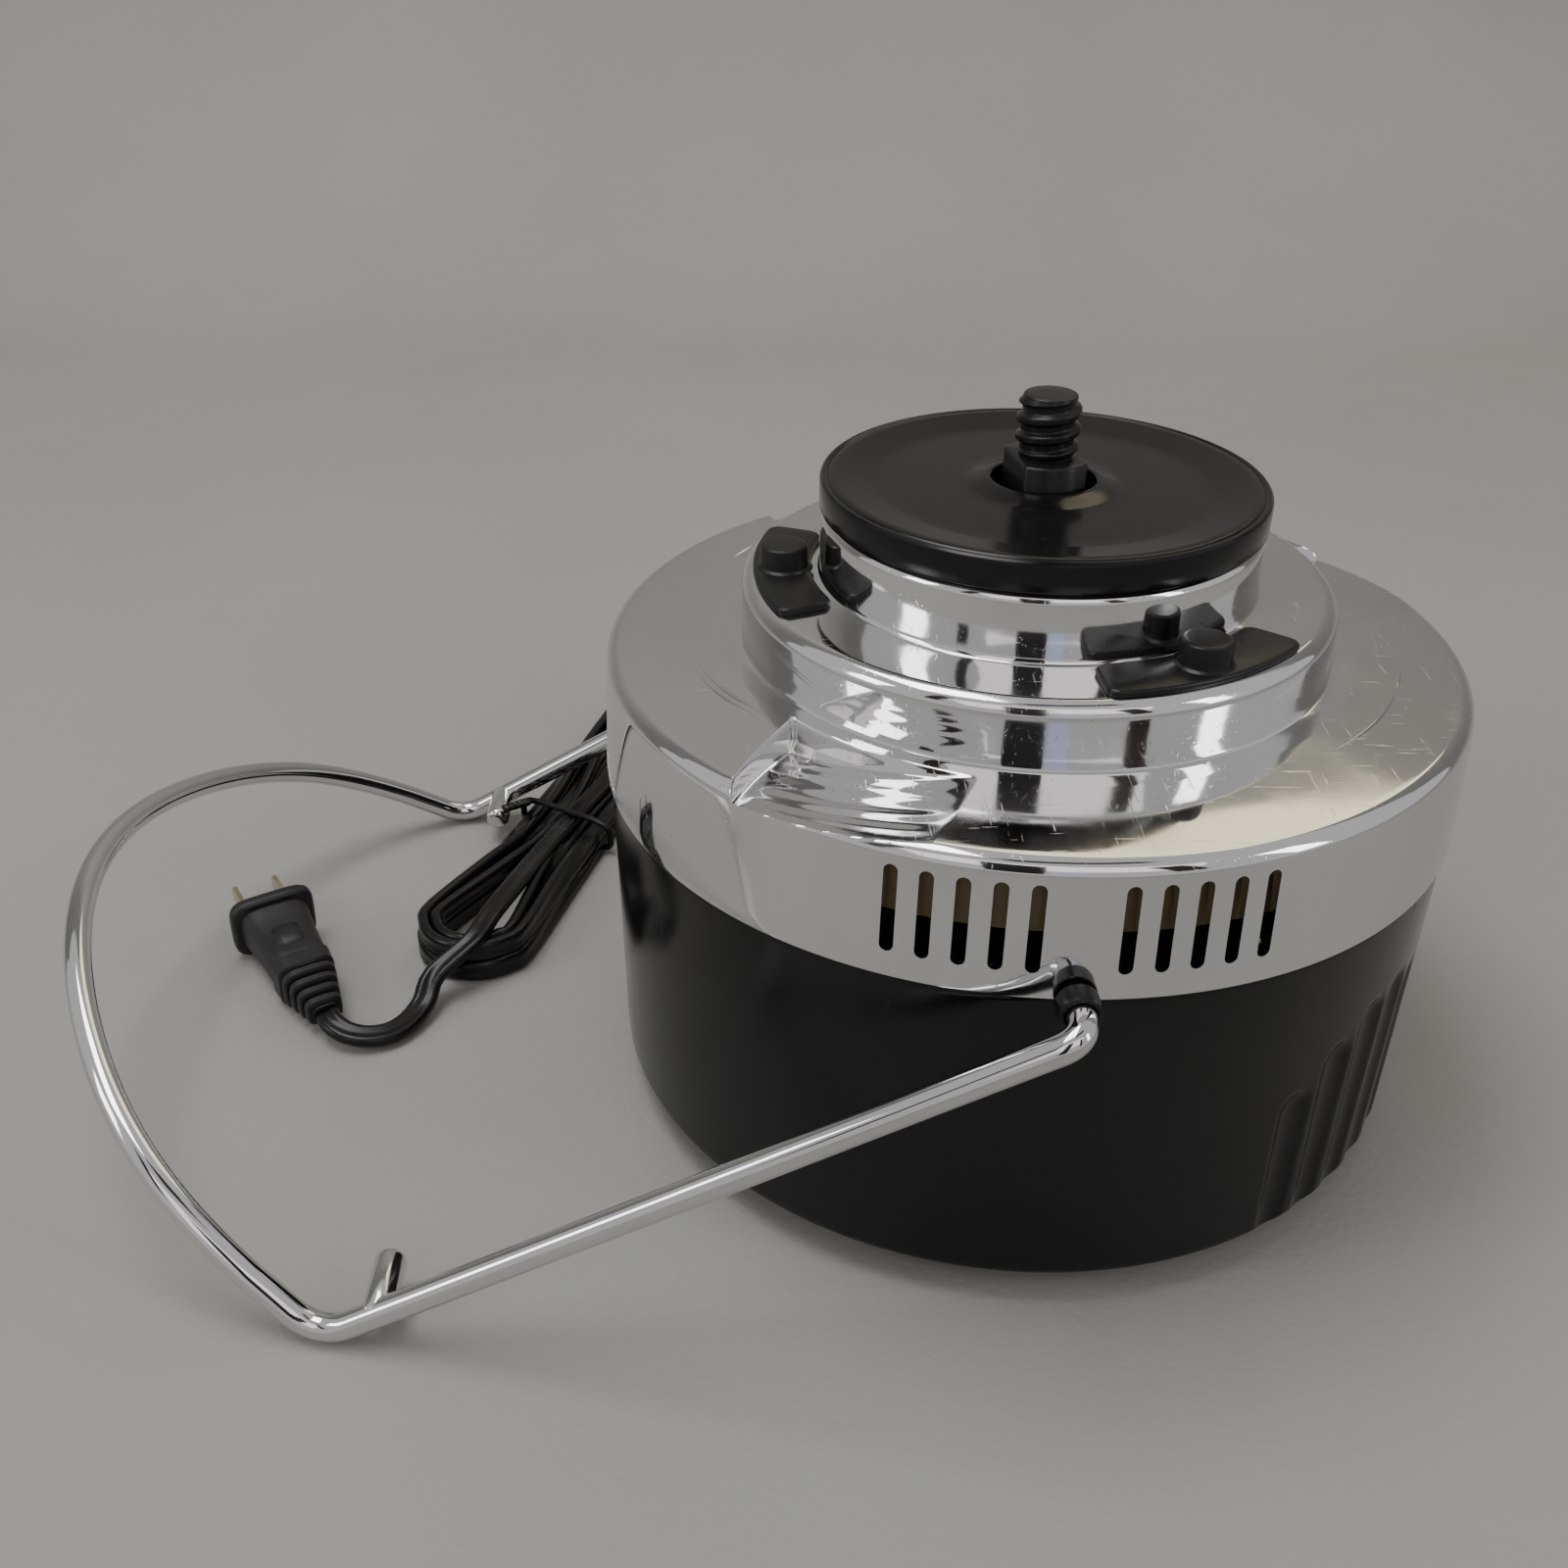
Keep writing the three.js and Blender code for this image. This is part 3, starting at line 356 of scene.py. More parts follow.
# ---------------------------------------------------------------- mains lead
CORD_WIDTH = 7.2
CORD_THICK = 3.6
HANK_FRONT = Vector((-159.5, 39))
HANK_BACK = Vector((-109, 183))
HANK_AXIS = (HANK_BACK - HANK_FRONT).normalized()
HANK_LEFT = Vector((-HANK_AXIS.y, HANK_AXIS.x))
HANK_SPAN = (HANK_BACK - HANK_FRONT).length
EXIT_ROUTE = [
    (-39.8, 138.7, 26), (-42.2, 147.1, 25.3), (-44.7, 155.7, 23.2), (-47.1, 164.4, 20),
    (-49.6, 173, 16), (-52.1, 181.7, 12.2), (-56.3, 190.4, 9.2), (-63.8, 197.8, 7.2),
    (-73.4, 202, 6.2), (-83.4, 202.6, 5.9), (-91.4, 199.9, 6), (-97, 195.1, 6.2),
]
PLUG_TAIL = Vector((-198.5, -2.5, 7))
PLUG_FACE = Vector((-225.2, 41.9, 10.9))
LEAD_ROUTE = [
    (-168.9, 12.2, 9.5), (-171.4, 4.6, 5), (-174.8, -2.8, 3.7),
    (-179.6, -7.9, 3.6), (-185.9, -9.9, 4.1), (-192, -9.1, 5.2), (-196.3, -6.3, 6.4), (-198.1, -3.2, 6.9),
]
# The last run over the hank: (share of its length, distance to the left, height).
LAST_RUN = [
    (0.8, -7, 10.8), (0.62, -4.5, 10), (0.44, -2.5, 9.6), (0.26, -3, 11.4), (0.1, -5.5, 15),
    (-0.02, -6.5, 16.2), (-0.1, -6.5, 14.6),
]
FLAT, ON_EDGE = 0.0, math.pi / 2
TIE_AT = 0.44
RELIEF_AZIMUTH, RELIEF_Z = 106, 26
PLUG_FLANGE_BACK = 4.6
BLADE_HALF_SPACING, BLADE_HALF_THICK = 6.35, 0.75


def hank_point(along, left, z, roll):
    p = HANK_FRONT + HANK_AXIS * along + HANK_LEFT * left
    return (p.x, p.y, z, roll)


def fold(at_front, radius, z, tall):
    """Half a turn at one end of the hank: right to left at the front, left to right at the back."""
    points = []
    for k in range(7):
        a = math.pi * (k / 6 - 0.5)
        side = math.sin(a) * radius
        out = math.cos(a) * radius
        if at_front:
            points.append(hank_point(-out, side, z, tall))
        else:
            points.append(hank_point(HANK_SPAN + out, -side, z, tall))
    return points


def hank_route():
    """Points (x, y, z, roll) of the whole lead: in at the back, four turns, out over the front."""
    rng = random.Random(7)
    front_r = [17.4, 13.4, 16.6, 12.6]
    back_r = [14.4, 10.8, 14.2, 11]
    fold_z = [3.8, 3.9, 10.6, 10.4]
    mid_z = [2.8, 2.9, 6.4, 6.5]
    column = [12.4, 4.2, 12.1, 4.1]
    route = [(*p, ON_EDGE * 0.3 * i / 11) for i, p in enumerate(EXIT_ROUTE)]
    for turn in range(4):
        for side, at_front in ((-1, True), (1, False)):
            stations = (0.80, 0.62, 0.44, 0.26) if side < 0 else (0.20, 0.36, 0.54, 0.74)
            for station in stations:
                near = abs(station - 0.46) / 0.34
                wobble = rng.uniform(-0.5, 0.5)
                left = side * lerp(column[turn], front_r[turn], 0.45 * near) + wobble
                z = lerp(mid_z[turn], fold_z[turn], smooth01(near) * 0.8)
                roll = lerp(FLAT + 0.12 * side, ON_EDGE, smooth01(near) * 0.9)
                route.append(hank_point(HANK_SPAN * station, left, z, roll))
            radius = front_r[turn] if at_front else back_r[turn]
            route += fold(at_front, radius, fold_z[turn] + rng.uniform(-0.1, 0.1), ON_EDGE)
    for station, left, z in LAST_RUN:
        route.append(hank_point(HANK_SPAN * station, left, z, 0.1))
    route += [(*p, 0.25) for p in LEAD_ROUTE]
    return route


def twin_section(_):
    """Two round cores side by side with a shallow groove between them."""
    half = CORD_WIDTH / 2 - CORD_THICK / 2
    r = CORD_THICK / 2
    angles = [math.radians(a) for a in range(-125, 126, 25)]
    right = [(half + r * math.cos(a), r * math.sin(a)) for a in angles]
    left = [(-x, -y) for x, y in right]
    return right + left


def make_cord():
    route = catmull([Vector(p) for p in hank_route()], 2.4)
    path = [p.to_3d() for p in (Vector(q[:3]) for q in route)]
    rolls = [q[3] for q in route]
    last = len(rolls) - 1
    shape = sweep(path, twin_section, lambda t: rolls[round(t * last)])
    cord = piece("mains_lead", shape, LOOKS["cord_black"], replaces=("cord_exit", "cord_hank", "cord_lead"),
                 sharp=60)
    return cord, [place(p) for p in path]


def laid_plug(shape):
    """Plug geometry is drawn along +Z from its tail, height along X, then laid towards the blades."""
    span = PLUG_FACE - PLUG_TAIL
    tilt = math.asin(span.z / span.length)
    heading = math.atan2(span.y, span.x)
    turn = Matrix.Rotation(heading, 4, "Z") @ Matrix.Rotation(math.pi / 2 - tilt, 4, "Y")
    return moved(shape, Matrix.Translation(PLUG_TAIL) @ turn)


def loft(stations, power=4.0, sides=48):
    """Rounded rectangular sections (z, height, width) joined along +Z."""
    rows = []
    for z, height, width in stations:
        row = []
        for j in range(sides):
            a = 2 * math.pi * j / sides
            c, s = math.cos(a), math.sin(a)
            k = (abs(c) ** power + abs(s) ** power) ** (-1 / power)
            row.append((height / 2 * c * k, width / 2 * s * k, z))
        rows.append(row)
    return grid(rows, caps=True)


def make_plug():
    length = (PLUG_FACE - PLUG_TAIL).length
    back = length - PLUG_FLANGE_BACK
    flange = loft([(back, 15, 20.5), (back + 0.1, 18.6, 24.2), (back + 0.7, 19.8, 25.4),
                   (back + 1.6, 20.4, 26), (length - 1.2, 20.4, 26), (length - 0.4, 19.6, 25.2),
                   (length, 18, 23.6)], 5)
    grip = loft([(22, 11, 13), (22.6, 13.6, 15.8), (24.5, 14.6, 17), (30, 12.6, 18), (38, 12.4, 19.4),
                 (44, 14.2, 20.6), (back + 0.4, 15.8, 21.6)], 4)
    shoulder = loft([(16.2, 13.6, 15.4), (16.8, 15, 17.2), (22.2, 15.5, 18), (22.9, 14, 16.6)], 5)
    core = loft([(0, 5.6, 8), (6, 6.6, 9), (17, 9.5, 12)], 3)
    ribs = [loft([(1 + 4 * i, 7.4 + 1.6 * i, 9.6 + 1.8 * i), (1.5 + 4 * i, 8.6 + 1.6 * i, 10.6 + 1.8 * i),
                  (3.3 + 4 * i, 9 + 1.6 * i, 11 + 1.8 * i), (3.8 + 4 * i, 8 + 1.6 * i, 10 + 1.8 * i)], 4)
            for i in range(4)]
    thumb = loft([(28, 13.2, 8), (29, 14.6, 9.5), (37, 14.6, 9.5), (38, 13.2, 8)], 4)
    body = piece("plug", laid_plug(joined(flange, grip, shoulder, core, thumb, *ribs)), LOOKS["plug_black"],
                 replaces=("plug_body",), sharp=40)
    blades = []
    for side, node in ((-1, "plug_blade_1"), (1, "plug_blade_2")):
        outline = [(-3.17, 0), (3.17, 0), (3.17, 15), (2.6, 16.4), (1.6, 17.3),
                   (-1.6, 17.3), (-2.6, 16.4), (-3.17, 15)]
        middle = side * BLADE_HALF_SPACING
        rows = [[(x, middle + y, length + 0.3 + z) for x, z in outline]
                for y in (-BLADE_HALF_THICK, BLADE_HALF_THICK)]
        blades.append(piece(f"blade_{(side + 3) // 2}", laid_plug(grid(rows, caps=True)),
                            LOOKS["blade_brass"], replaces=(node,), bevel=0.25))
    return [body, *blades]


def make_relief():
    """The tapered strain relief at the back of the housing, with rings along it."""
    profile = [(7, 103.4), (7, 105.9), (5, 105.9), (5, 109.9), (7.3, 109.9), (7.6, 110.3),
               (7.6, 112), (7.2, 112.3)]
    for i in range(7):
        z, r = 113.5 + 4.3 * i, 6.5 - 0.3 * i
        profile += [(r - 0.7, z), (r - 0.1, z + 0.4), (r, z + 1.2), (r, z + 2.4),
                    (r - 0.3, z + 3.2), (r - 0.9, z + 3.4)]
    profile += [(4, 143.5), (3.4, 144)]
    turn = Matrix.Rotation(math.radians(RELIEF_AZIMUTH), 4, "Z") @ Matrix.Rotation(math.pi / 2, 4, "Y")
    shape = moved(turned(profile, 48), Matrix.Translation((0, 0, RELIEF_Z)) @ turn)
    return piece("strain_relief", shape, LOOKS["cord_black"], replaces=("cord_relief",))


def make_tie():
    """A wire tie drawn tight round the hank, its ends twisted together."""
    centre = TIE_AT * HANK_SPAN
    loop = []
    for k in range(41):
        a = 2 * math.pi * k / 40
        x, y = math.cos(a), math.sin(a)
        squared = (abs(x) ** 4 + abs(y) ** 4) ** -0.25
        left = 18.6 * x * squared
        z = 6.5 + (5.6 if y > 0 else 5.4) * y * squared
        p = hank_point(centre + left * 0.22, left, max(1.2, z), 0)
        loop.append(p[:3])
    wire = sweep(loop, lambda t: circle(1.15, 10))
    knot = []
    for k in range(61):
        t = k / 60
        a = t * math.tau * 4
        along = centre + 1 - 9 * t + 1.3 * math.sin(a)
        p = hank_point(along, 15 + 3.5 * t + 1.2 * math.cos(a), 12.2 + 2.2 * t, 0)
        knot.append(p[:3])
    twist = sweep(knot, lambda t: circle(0.95, 8))
    return piece("wire_tie", joined(wire, twist), LOOKS["cord_black"], replaces=("cord_tie",))


cord, cord_path = make_cord()
plug_pieces = make_plug()
relief = make_relief()
tie = make_tie()


# ---------------------------------------------------------------- chrome top
DECK_Z, BAND_Z0 = 130.0, 95.5
BAND_R, RIM_R, RIM_FILLET = 111.3, 110, 4
DECK_FALL = 0.055
SHELF_R, SHELF_Z, SHELF_FILLET = 75, 146.5, 4
NECK_R, NECK_Z, NECK_FILLET, NECK_BORE_R = 55, 163, 2.5, 24
SHELL_WALL = 2
VENT_WIDTH, VENT_PITCH, VENT_FIRST = 3.2, 4.05, 5.05
VENT_Z0, VENT_Z1 = 101.8, 123.4
RECESSES = [  # azimuths of (crease, steep wall) at the inner arc, then at the rim
    ((-106.6, -142.6), (-110.8, -134.1)),
    ((2.6, 38.6), (6.8, 30.1)),
    ((98.6, 134.6), (102.8, 126.1)),
]
RECESS_INNER_R, RECESS_OUTER_R = 80.0, 116.0
RIB_INNER_R, RIB_OUTER_R, RIB_DEPTH, RIB_PITCH = 81, 108, 0.2, 6.2
PIVOT = (-5.0, 95.8)
PIVOT_AZIMUTH = -92.57


def recess_share(r):
    return clamp01((r - RECESS_INNER_R) / (RECESS_OUTER_R - RECESS_INNER_R))


def shell_columns():
    """Azimuths of the shell's columns at the inner arc, closer together at each recess wall."""
    columns = {round(a * 0.75 - 180, 3) for a in range(480)}
    for (crease, wall), _ in RECESSES:
        for step in (-1.3, -1.0, -0.8, -0.6, -0.4, -0.2, 0.0, 0.2):
            columns.add(round(wall - math.copysign(step, wall - crease), 3))
        columns.add(round(crease, 3))
    return sorted(columns)


def slanted(azimuth, r):
    """The azimuth of a column at radius r: columns lean with the recess walls."""
    v = recess_share(r)
    for (crease, wall), (crease_rim, wall_rim) in RECESSES:
        margin = 14
        turn = 1 if wall > crease else -1
        a, c, w = azimuth * turn, crease * turn, wall * turn
        if not c - margin < a < w + margin:
            continue
        shift_c, shift_w = (crease_rim - crease) * turn, (wall_rim - wall) * turn
        if a < c:
            shift = shift_c * (a - c + margin) / margin
        elif a > w:
            shift = shift_w * (w + margin - a) / margin
        else:
            shift = lerp(shift_c, shift_w, (a - c) / (w - c))
        return azimuth + shift * v * turn
    return azimuth


def deck_height(r):
    """The deck falls very slightly from the shelf to the rim."""
    return DECK_Z - DECK_FALL * max(0.0, r - 81.2)


def recess_floor(azimuth, r):
    """Height of the deck at a column, with the grip recesses pressed into it."""
    z = deck_height(r)
    for (crease, wall), _ in RECESSES:
        u = (azimuth - crease) / (wall - crease)
        if 0 < u < 1.05:
            depth = clamp01(u) * lerp(8, 3, recess_share(r))
            wall_fade = smooth01((1 - u) * abs(wall - crease) / 1.1)
            inner_fade = smooth01((r - RECESS_INNER_R + 0.6) / 1.4)
            z = min(z, deck_height(r) - (depth + grip_rib(azimuth, r)) * wall_fade * inner_fade)
    return z


def grip_rib(azimuth, r):
    """Extra depth of the curved finger ribs that fan out of the front recess's steep corner."""
    (crease, wall), _ = RECESSES[0]
    u = (azimuth - crease) / (wall - crease)
    if not 0 < u < 1 or not RIB_INNER_R < r < RIB_OUTER_R:
        return 0
    fade = smooth01(u * 6) * smooth01((1 - u) * 5)
    fade *= smooth01((r - RIB_INNER_R) / 2) * smooth01((RIB_OUTER_R - r) / 5)
    return RIB_DEPTH * fade * (0.5 - 0.5 * math.cos(math.tau * (r - RIB_INNER_R - 6 * u) / RIB_PITCH))


def outer_profile():
    """(r, z) of the outer skin from the band's foot, over the deck, shelf and neck, to the bore."""
    rim = RIM_R - RIM_FILLET
    shelf_edge, shelf_top = SHELF_R - SHELF_FILLET, SHELF_Z - SHELF_FILLET
    neck_edge, neck_top = NECK_R - NECK_FILLET, NECK_Z - NECK_FILLET
    fillet = arc(rim, deck_height(rim) - RIM_FILLET, RIM_FILLET, 0, 90, 10)
    band = finer([(BAND_R, BAND_Z0), (BAND_R + 0.02, BAND_Z0 + 0.5), fillet[0]], 3)
    deck = [(105 - 0.75 * i, deck_height(105 - 0.75 * i)) for i in range(32)]
    deck += [(r, DECK_Z) for r in (81.2, 80.9, 80.6, 80.4, 80.2, 80, 79.8, 79.6, 79.4, 79, 77.5)]
    rise = [(76.2, DECK_Z), (75.5, 130.15), (75.1, 130.55)]
    rise += [(SHELF_R, z) for z in (131.2, 134, 138)]
    shelf = arc(shelf_edge, shelf_top, SHELF_FILLET, 0, 90, 9) + [(r, SHELF_Z) for r in (66, 60, 56.4)]
    shelf += [(55.5, 146.7), (55.1, 147.2), (NECK_R, 148)]
    neck = [(NECK_R, 152), (NECK_R, 157), *arc(neck_edge, neck_top, NECK_FILLET, 0, 90, 7)]
    return band[:-1] + fillet + deck + rise + shelf + neck + [(40, NECK_Z), (NECK_BORE_R, NECK_Z)]


def inner_profile():
    """(r, z) of the inner skin, from the bore back to the band's foot."""
    under_neck, under_shelf, under_deck = NECK_Z - SHELL_WALL, SHELF_Z - SHELL_WALL, DECK_Z - SHELL_WALL
    deck = [(r, under_deck) for r in (SHELF_R - SHELL_WALL, 78.5, 80, 84, 90, 97, 104)]
    return [(NECK_BORE_R, under_neck), (NECK_R - SHELL_WALL, under_neck), (NECK_R - SHELL_WALL, under_shelf),
            (SHELF_R - SHELL_WALL, under_shelf), *deck, (107, 126), (109, 110), (109.3, BAND_Z0)]


def shell_rows():
    """Rows of the chrome shell. Beyond the shelf both skins follow the grip recesses."""
    columns = shell_columns()
    skins = [(r, z, 0) for r, z in outer_profile()] + [(r, z, SHELL_WALL) for r, z in inner_profile()]
    rows = []
    for r, z, under in skins:
        row = []
        for a in columns:
            height = min(z, recess_floor(a, r) - under) if r > 78 else z
            row.append(polar(r, slanted(a, r), height))
        rows.append(row)
    return rows


def capsule(azimuth, radius, width, z0, z1, depth):
    """A slot cutter pointing out from the axis."""
    half = width / 2
    outline = arc(0, z1 - half, half, 0, 180, 10) + arc(0, z0 + half, half, 180, 360, 10)
    rows = [[(radius + d, x, z) for x, z in outline] for d in (0, depth)]
    return moved(grid(rows, caps=True), Matrix.Rotation(math.radians(azimuth), 4, "Z"))


def cut_away(obj, shape):
    """Cuts a set of separate closed forms out of a piece, and applies the cut."""
    verts, faces = shape
    mesh = bpy.data.meshes.new("cutter")
    mesh.from_pydata([place(v) for v in verts], [], faces)
    bm = bmesh.new()
    bm.from_mesh(mesh)
    bmesh.ops.recalc_face_normals(bm, faces=bm.faces)
    bm.to_mesh(mesh)
    bm.free()
    cutter = bpy.data.objects.new("cutter", mesh)
    bpy.context.scene.collection.objects.link(cutter)
    mod = obj.modifiers.new("cut", "BOOLEAN")
    mod.operation, mod.solver, mod.object = "DIFFERENCE", "EXACT", cutter
    solid = bpy.data.meshes.new_from_object(obj.evaluated_get(bpy.context.evaluated_depsgraph_get()))
    obj.modifiers.clear()
    obj.data = solid
    obj.data.set_sharp_from_angle(angle=math.radians(32))
    bpy.data.objects.remove(cutter)


def vent_azimuths():
    near = [PIVOT_AZIMUTH + side * (VENT_FIRST + VENT_PITCH * i) for i in range(5) for side in (-1, 1)]
    return near + [-a for a in near]


def pivot_hole(side):
    """A cutter for the hole that the bail's wire goes into, through the band and the housing."""
    rows = [[(PIVOT[0] + x, side * y, PIVOT[1] + z) for x, z in circle(4.1, 40)] for y in (96, 118)]
    return grid(rows, caps=True)


def make_shell():
    """The whole chrome top as one skin, with its vents and pivot holes."""
    shell = piece("chrome_top", grid(shell_rows(), close_rows=True), LOOKS["chrome_shell"],
                  replaces=("top_shell", "shelf_step", "neck_step"))
    slots = [capsule(a, 100, VENT_WIDTH, VENT_Z0, VENT_Z1, 16) for a in vent_azimuths()]
    cut_away(shell, joined(*slots, pivot_hole(-1), pivot_hole(1)))


def make_vent_liner():
    """The pale moulded wall that shows through the upper part of the vents."""
    profile = [(105, 109), (105.8, 109), (105.8, 122), (105, 122)]
    liner = turned(finer(profile, 4), 96, closed=True)
    piece("vent_liner", liner, LOOKS["liner_tan"])


def crescent(a, b, width=1.5, height=0.32):
    """A thin raised mark on the deck from a to b, each (radius, azimuth), pointed at both ends."""
    rows = []
    for i in range(25):
        t = i / 24
        x, y, _ = polar(lerp(a[0], b[0], t), lerp(a[1], b[1], t))
        swell = math.sin(math.pi * (0.04 + 0.92 * t))
        out = Vector((x, y, 0)).normalized()
        row = []
        for k in range(7):
            s = k / 6 * 2 - 1
            p = Vector((x, y, 0)) + out * (s * width / 2 * swell)
            base = deck_height(math.hypot(p.x, p.y))
            row.append((p.x, p.y, base - 0.05 + height * swell * (1 - s * s)))
        rows.append(row)
    return grid(rows, caps=True)


def make_deck_marks():
    marks = [
        ((90, -168.6), (86.2, -146)), ((88.4, -170.2), (84.2, -146)),
        ((90.3, 165.3), (91.5, 149.3)), ((91.5, 147.7), (93.2, 138.5)),
        ((92, -15.2), (91.1, -22.4)), ((91.1, -22.4), (87.9, -48.4)), ((89.4, 0.5), (87.6, -13)),
    ]
    piece("deck_marks", joined(*(crescent(a, b) for a, b in marks)), LOOKS["chrome_shell"],
          sharp=60)


# ---------------------------------------------------------------- housing
FLUTES = [(-60, 60), (-53.3, 69), (-46.6, 75), (-39.9, 76), (-33.2, 72)]
FLUTE_R, FLUTE_CENTRE_R = 11.6, 119.7
FLUTES_FROM, FLUTES_TO = -66, -27


def flute_wall(azimuth, z):
    """Radius of the housing where a finger flute cuts it, or a large number elsewhere."""
    best = 1e9
    for centre, top in FLUTES:
        reach = FLUTE_R
        if z > top - FLUTE_R:
            reach = math.sqrt(max(0, FLUTE_R ** 2 - (z - top + FLUTE_R) ** 2))
        turn = math.radians(azimuth - centre)
        inside = reach ** 2 - (FLUTE_CENTRE_R * math.sin(turn)) ** 2
        if inside > 0 and math.cos(turn) > 0:
            best = min(best, FLUTE_CENTRE_R * math.cos(turn) - math.sqrt(inside))
    return best


def flute_backing(azimuth, z):
    """How much thicker the wall is behind the flutes."""
    return 3 if FLUTES_FROM - 1 < azimuth < FLUTES_TO + 1 and z < 90 else 0


def soft_min(a, b, blend=0.35):
    h = clamp01(0.5 + 0.5 * (b - a) / blend)
    return lerp(b, a, h) - blend * h * (1 - h)


def make_housing():
    """The tapered housing, with finer columns where the finger flutes are."""
    fine = [FLUTES_FROM + 0.3 * i for i in range(131)]
    columns = fine + [FLUTES_TO + i for i in range(1, 321)]
    outer = finer([*arc(106.7, 11.8, 2.5, 270, 360, 6), (110.28, 94.4)], 1.4) + [(110.1, 94.9), (109.6, 95.2)]
    inner = [(107.5, 95.2), (106.4, 11.8), (106.4, 9.3)]
    rows = []
    for i, (r, z) in enumerate(outer + inner):
        if i < len(outer):
            rows.append([polar(soft_min(r, flute_wall(a, z)), a, z) for a in columns])
        else:
            rows.append([polar(r - flute_backing(a, z), a, z) for a in columns])
    shell = piece("housing", grid(rows, close_rows=True), LOOKS["housing_black"], replaces=("lower_housing",),
                  sharp=40)
    cut_away(shell, joined(pivot_hole(-1), pivot_hole(1)))


# ---------------------------------------------------------------- cap, spindle and pads
CAP_R, CAP_Z0, CAP_Z, CAP_BORE_R, DISH_Z = 55.5, 163.3, 171.1, 13, 169.5


def make_cap():
    """The cap disc: rounded edge, groove, bevel down to the dish, and a collar round the bore."""
    edge = [(CAP_BORE_R, CAP_Z0), (54.9, CAP_Z0), (55.3, 163.5), (CAP_R, 164), (CAP_R, 169.9),
            (55.3, 170.6), (54.8, 171.05)]
    groove = [(54.2, CAP_Z), (53.9, 171.0), (53.5, 170.7), (53.1, 171.0), (52.8, CAP_Z)]
    dish = [(51.4, CAP_Z), (50.6, 170.95), (42.4, 169.62), (41.4, DISH_Z), (19.4, DISH_Z), (18.8, 169.6)]
    collar = [(14.6, 170.95), (14, CAP_Z), (13.3, CAP_Z), (CAP_BORE_R, 170.8)]
    profile = edge + groove + dish + collar
    piece("cap", turned(finer(profile, 4), 220, closed=True), LOOKS["cap_black"], replaces=("cap_disc",),
          sharp=25)


THREAD_ROOT, THREAD_CREST, THREAD_PITCH = 6.6, 7.8, 4.6
THREAD_Z0, THREAD_Z1, SPINDLE_TOP_Z = 176.8, 191.6, 192.0
BOSS_R, BOSS_HALF_FLATS, BOSS_TURN = 11.5, 8, math.radians(9)


def thread_radius(angle, z):
    """Radius of the thread at a height: rounded crests that fade out at both ends."""
    phase = ((z - THREAD_Z0) / THREAD_PITCH - angle / math.tau) % 1.0
    ridge = smooth01(min(phase, 1 - phase) * 4 - 0.55)
    fade = smooth01((z - THREAD_Z0) / 2.4) * smooth01((THREAD_Z1 - z) / 2.2)
    return lerp(THREAD_ROOT, THREAD_CREST, ridge * fade)


def make_spindle():
    """The threaded end standing on a boss with two flats."""
    rows = []
    angles = [math.tau * j / 96 for j in range(96)]
    for i in range(97):
        z = lerp(THREAD_Z0 - 0.4, THREAD_Z1, i / 96)
        radii = [thread_radius(a, z) for a in angles]
        rows.append([(r * math.cos(a), r * math.sin(a), z) for r, a in zip(radii, angles)])
    for r, z in ((6.5, 191.75), (6.35, 191.9), (6.1, SPINDLE_TOP_Z), (3, SPINDLE_TOP_Z)):
        rows.append([polar(r, 360 * j / 96, z) for j in range(96)])
    thread = grid(rows, caps=True)
    flats = []
    for inset, z in ((0, 160), (0, 176.2), (0.25, 176.6), (0.7, THREAD_Z0)):
        row = []
        for j in range(120):
            a = math.tau * j / 120
            to_flat = (BOSS_HALF_FLATS - inset) / max(1e-6, abs(math.cos(a - BOSS_TURN)))
            r = min(BOSS_R - inset, to_flat)
            row.append((r * math.cos(a), r * math.sin(a), z))
        flats.append(row)
    piece("spindle", joined(thread, grid(flats, caps=True)), LOOKS["spindle_black"], body="spindle",
          replaces=("drive_spindle",), sharp=35)


PAD_AZIMUTHS = (-179, -63.5)
PAD_HALF_ANGLE, PAD_INNER_R, PAD_OUTER_R, PAD_ROUND = 23, 57.5, 72, 3
POST_CIRCLE_R = 64.2


def pad_outline(azimuth, inset):
    """The pad's rounded outline, drawn in by inset: corners in turn, with the two arcs between them."""
    a0, a1 = azimuth - PAD_HALF_ANGLE, azimuth + PAD_HALF_ANGLE
    rounding = PAD_ROUND - inset * 0.5
    r0, r1 = PAD_INNER_R + inset, PAD_OUTER_R - inset
    # each corner: radius, azimuth, which way the pad lies from it, first angle, which arc follows
    corners = ((r1, a0, 1, -90, a1), (r1, a1, -1, 0, None), (r0, a1, -1, 90, a0), (r0, a0, 1, 180, None))
    points = []
    for r, a_end, sense, start, far in corners:
        centre_r = r - rounding if r == r1 else r + rounding
        turn = math.degrees((rounding + inset) / centre_r)
        centre_a = a_end + sense * turn
        c = Vector(polar(centre_r, centre_a))
        for k in range(7):
            angle = math.radians(start + centre_a + 90 * k / 6)
            points.append((c.x + rounding * math.cos(angle), c.y + rounding * math.sin(angle)))
        if far is not None:
            points += [polar(r, lerp(centre_a, far - sense * turn, k / 24))[:2] for k in range(1, 24)]
    return points


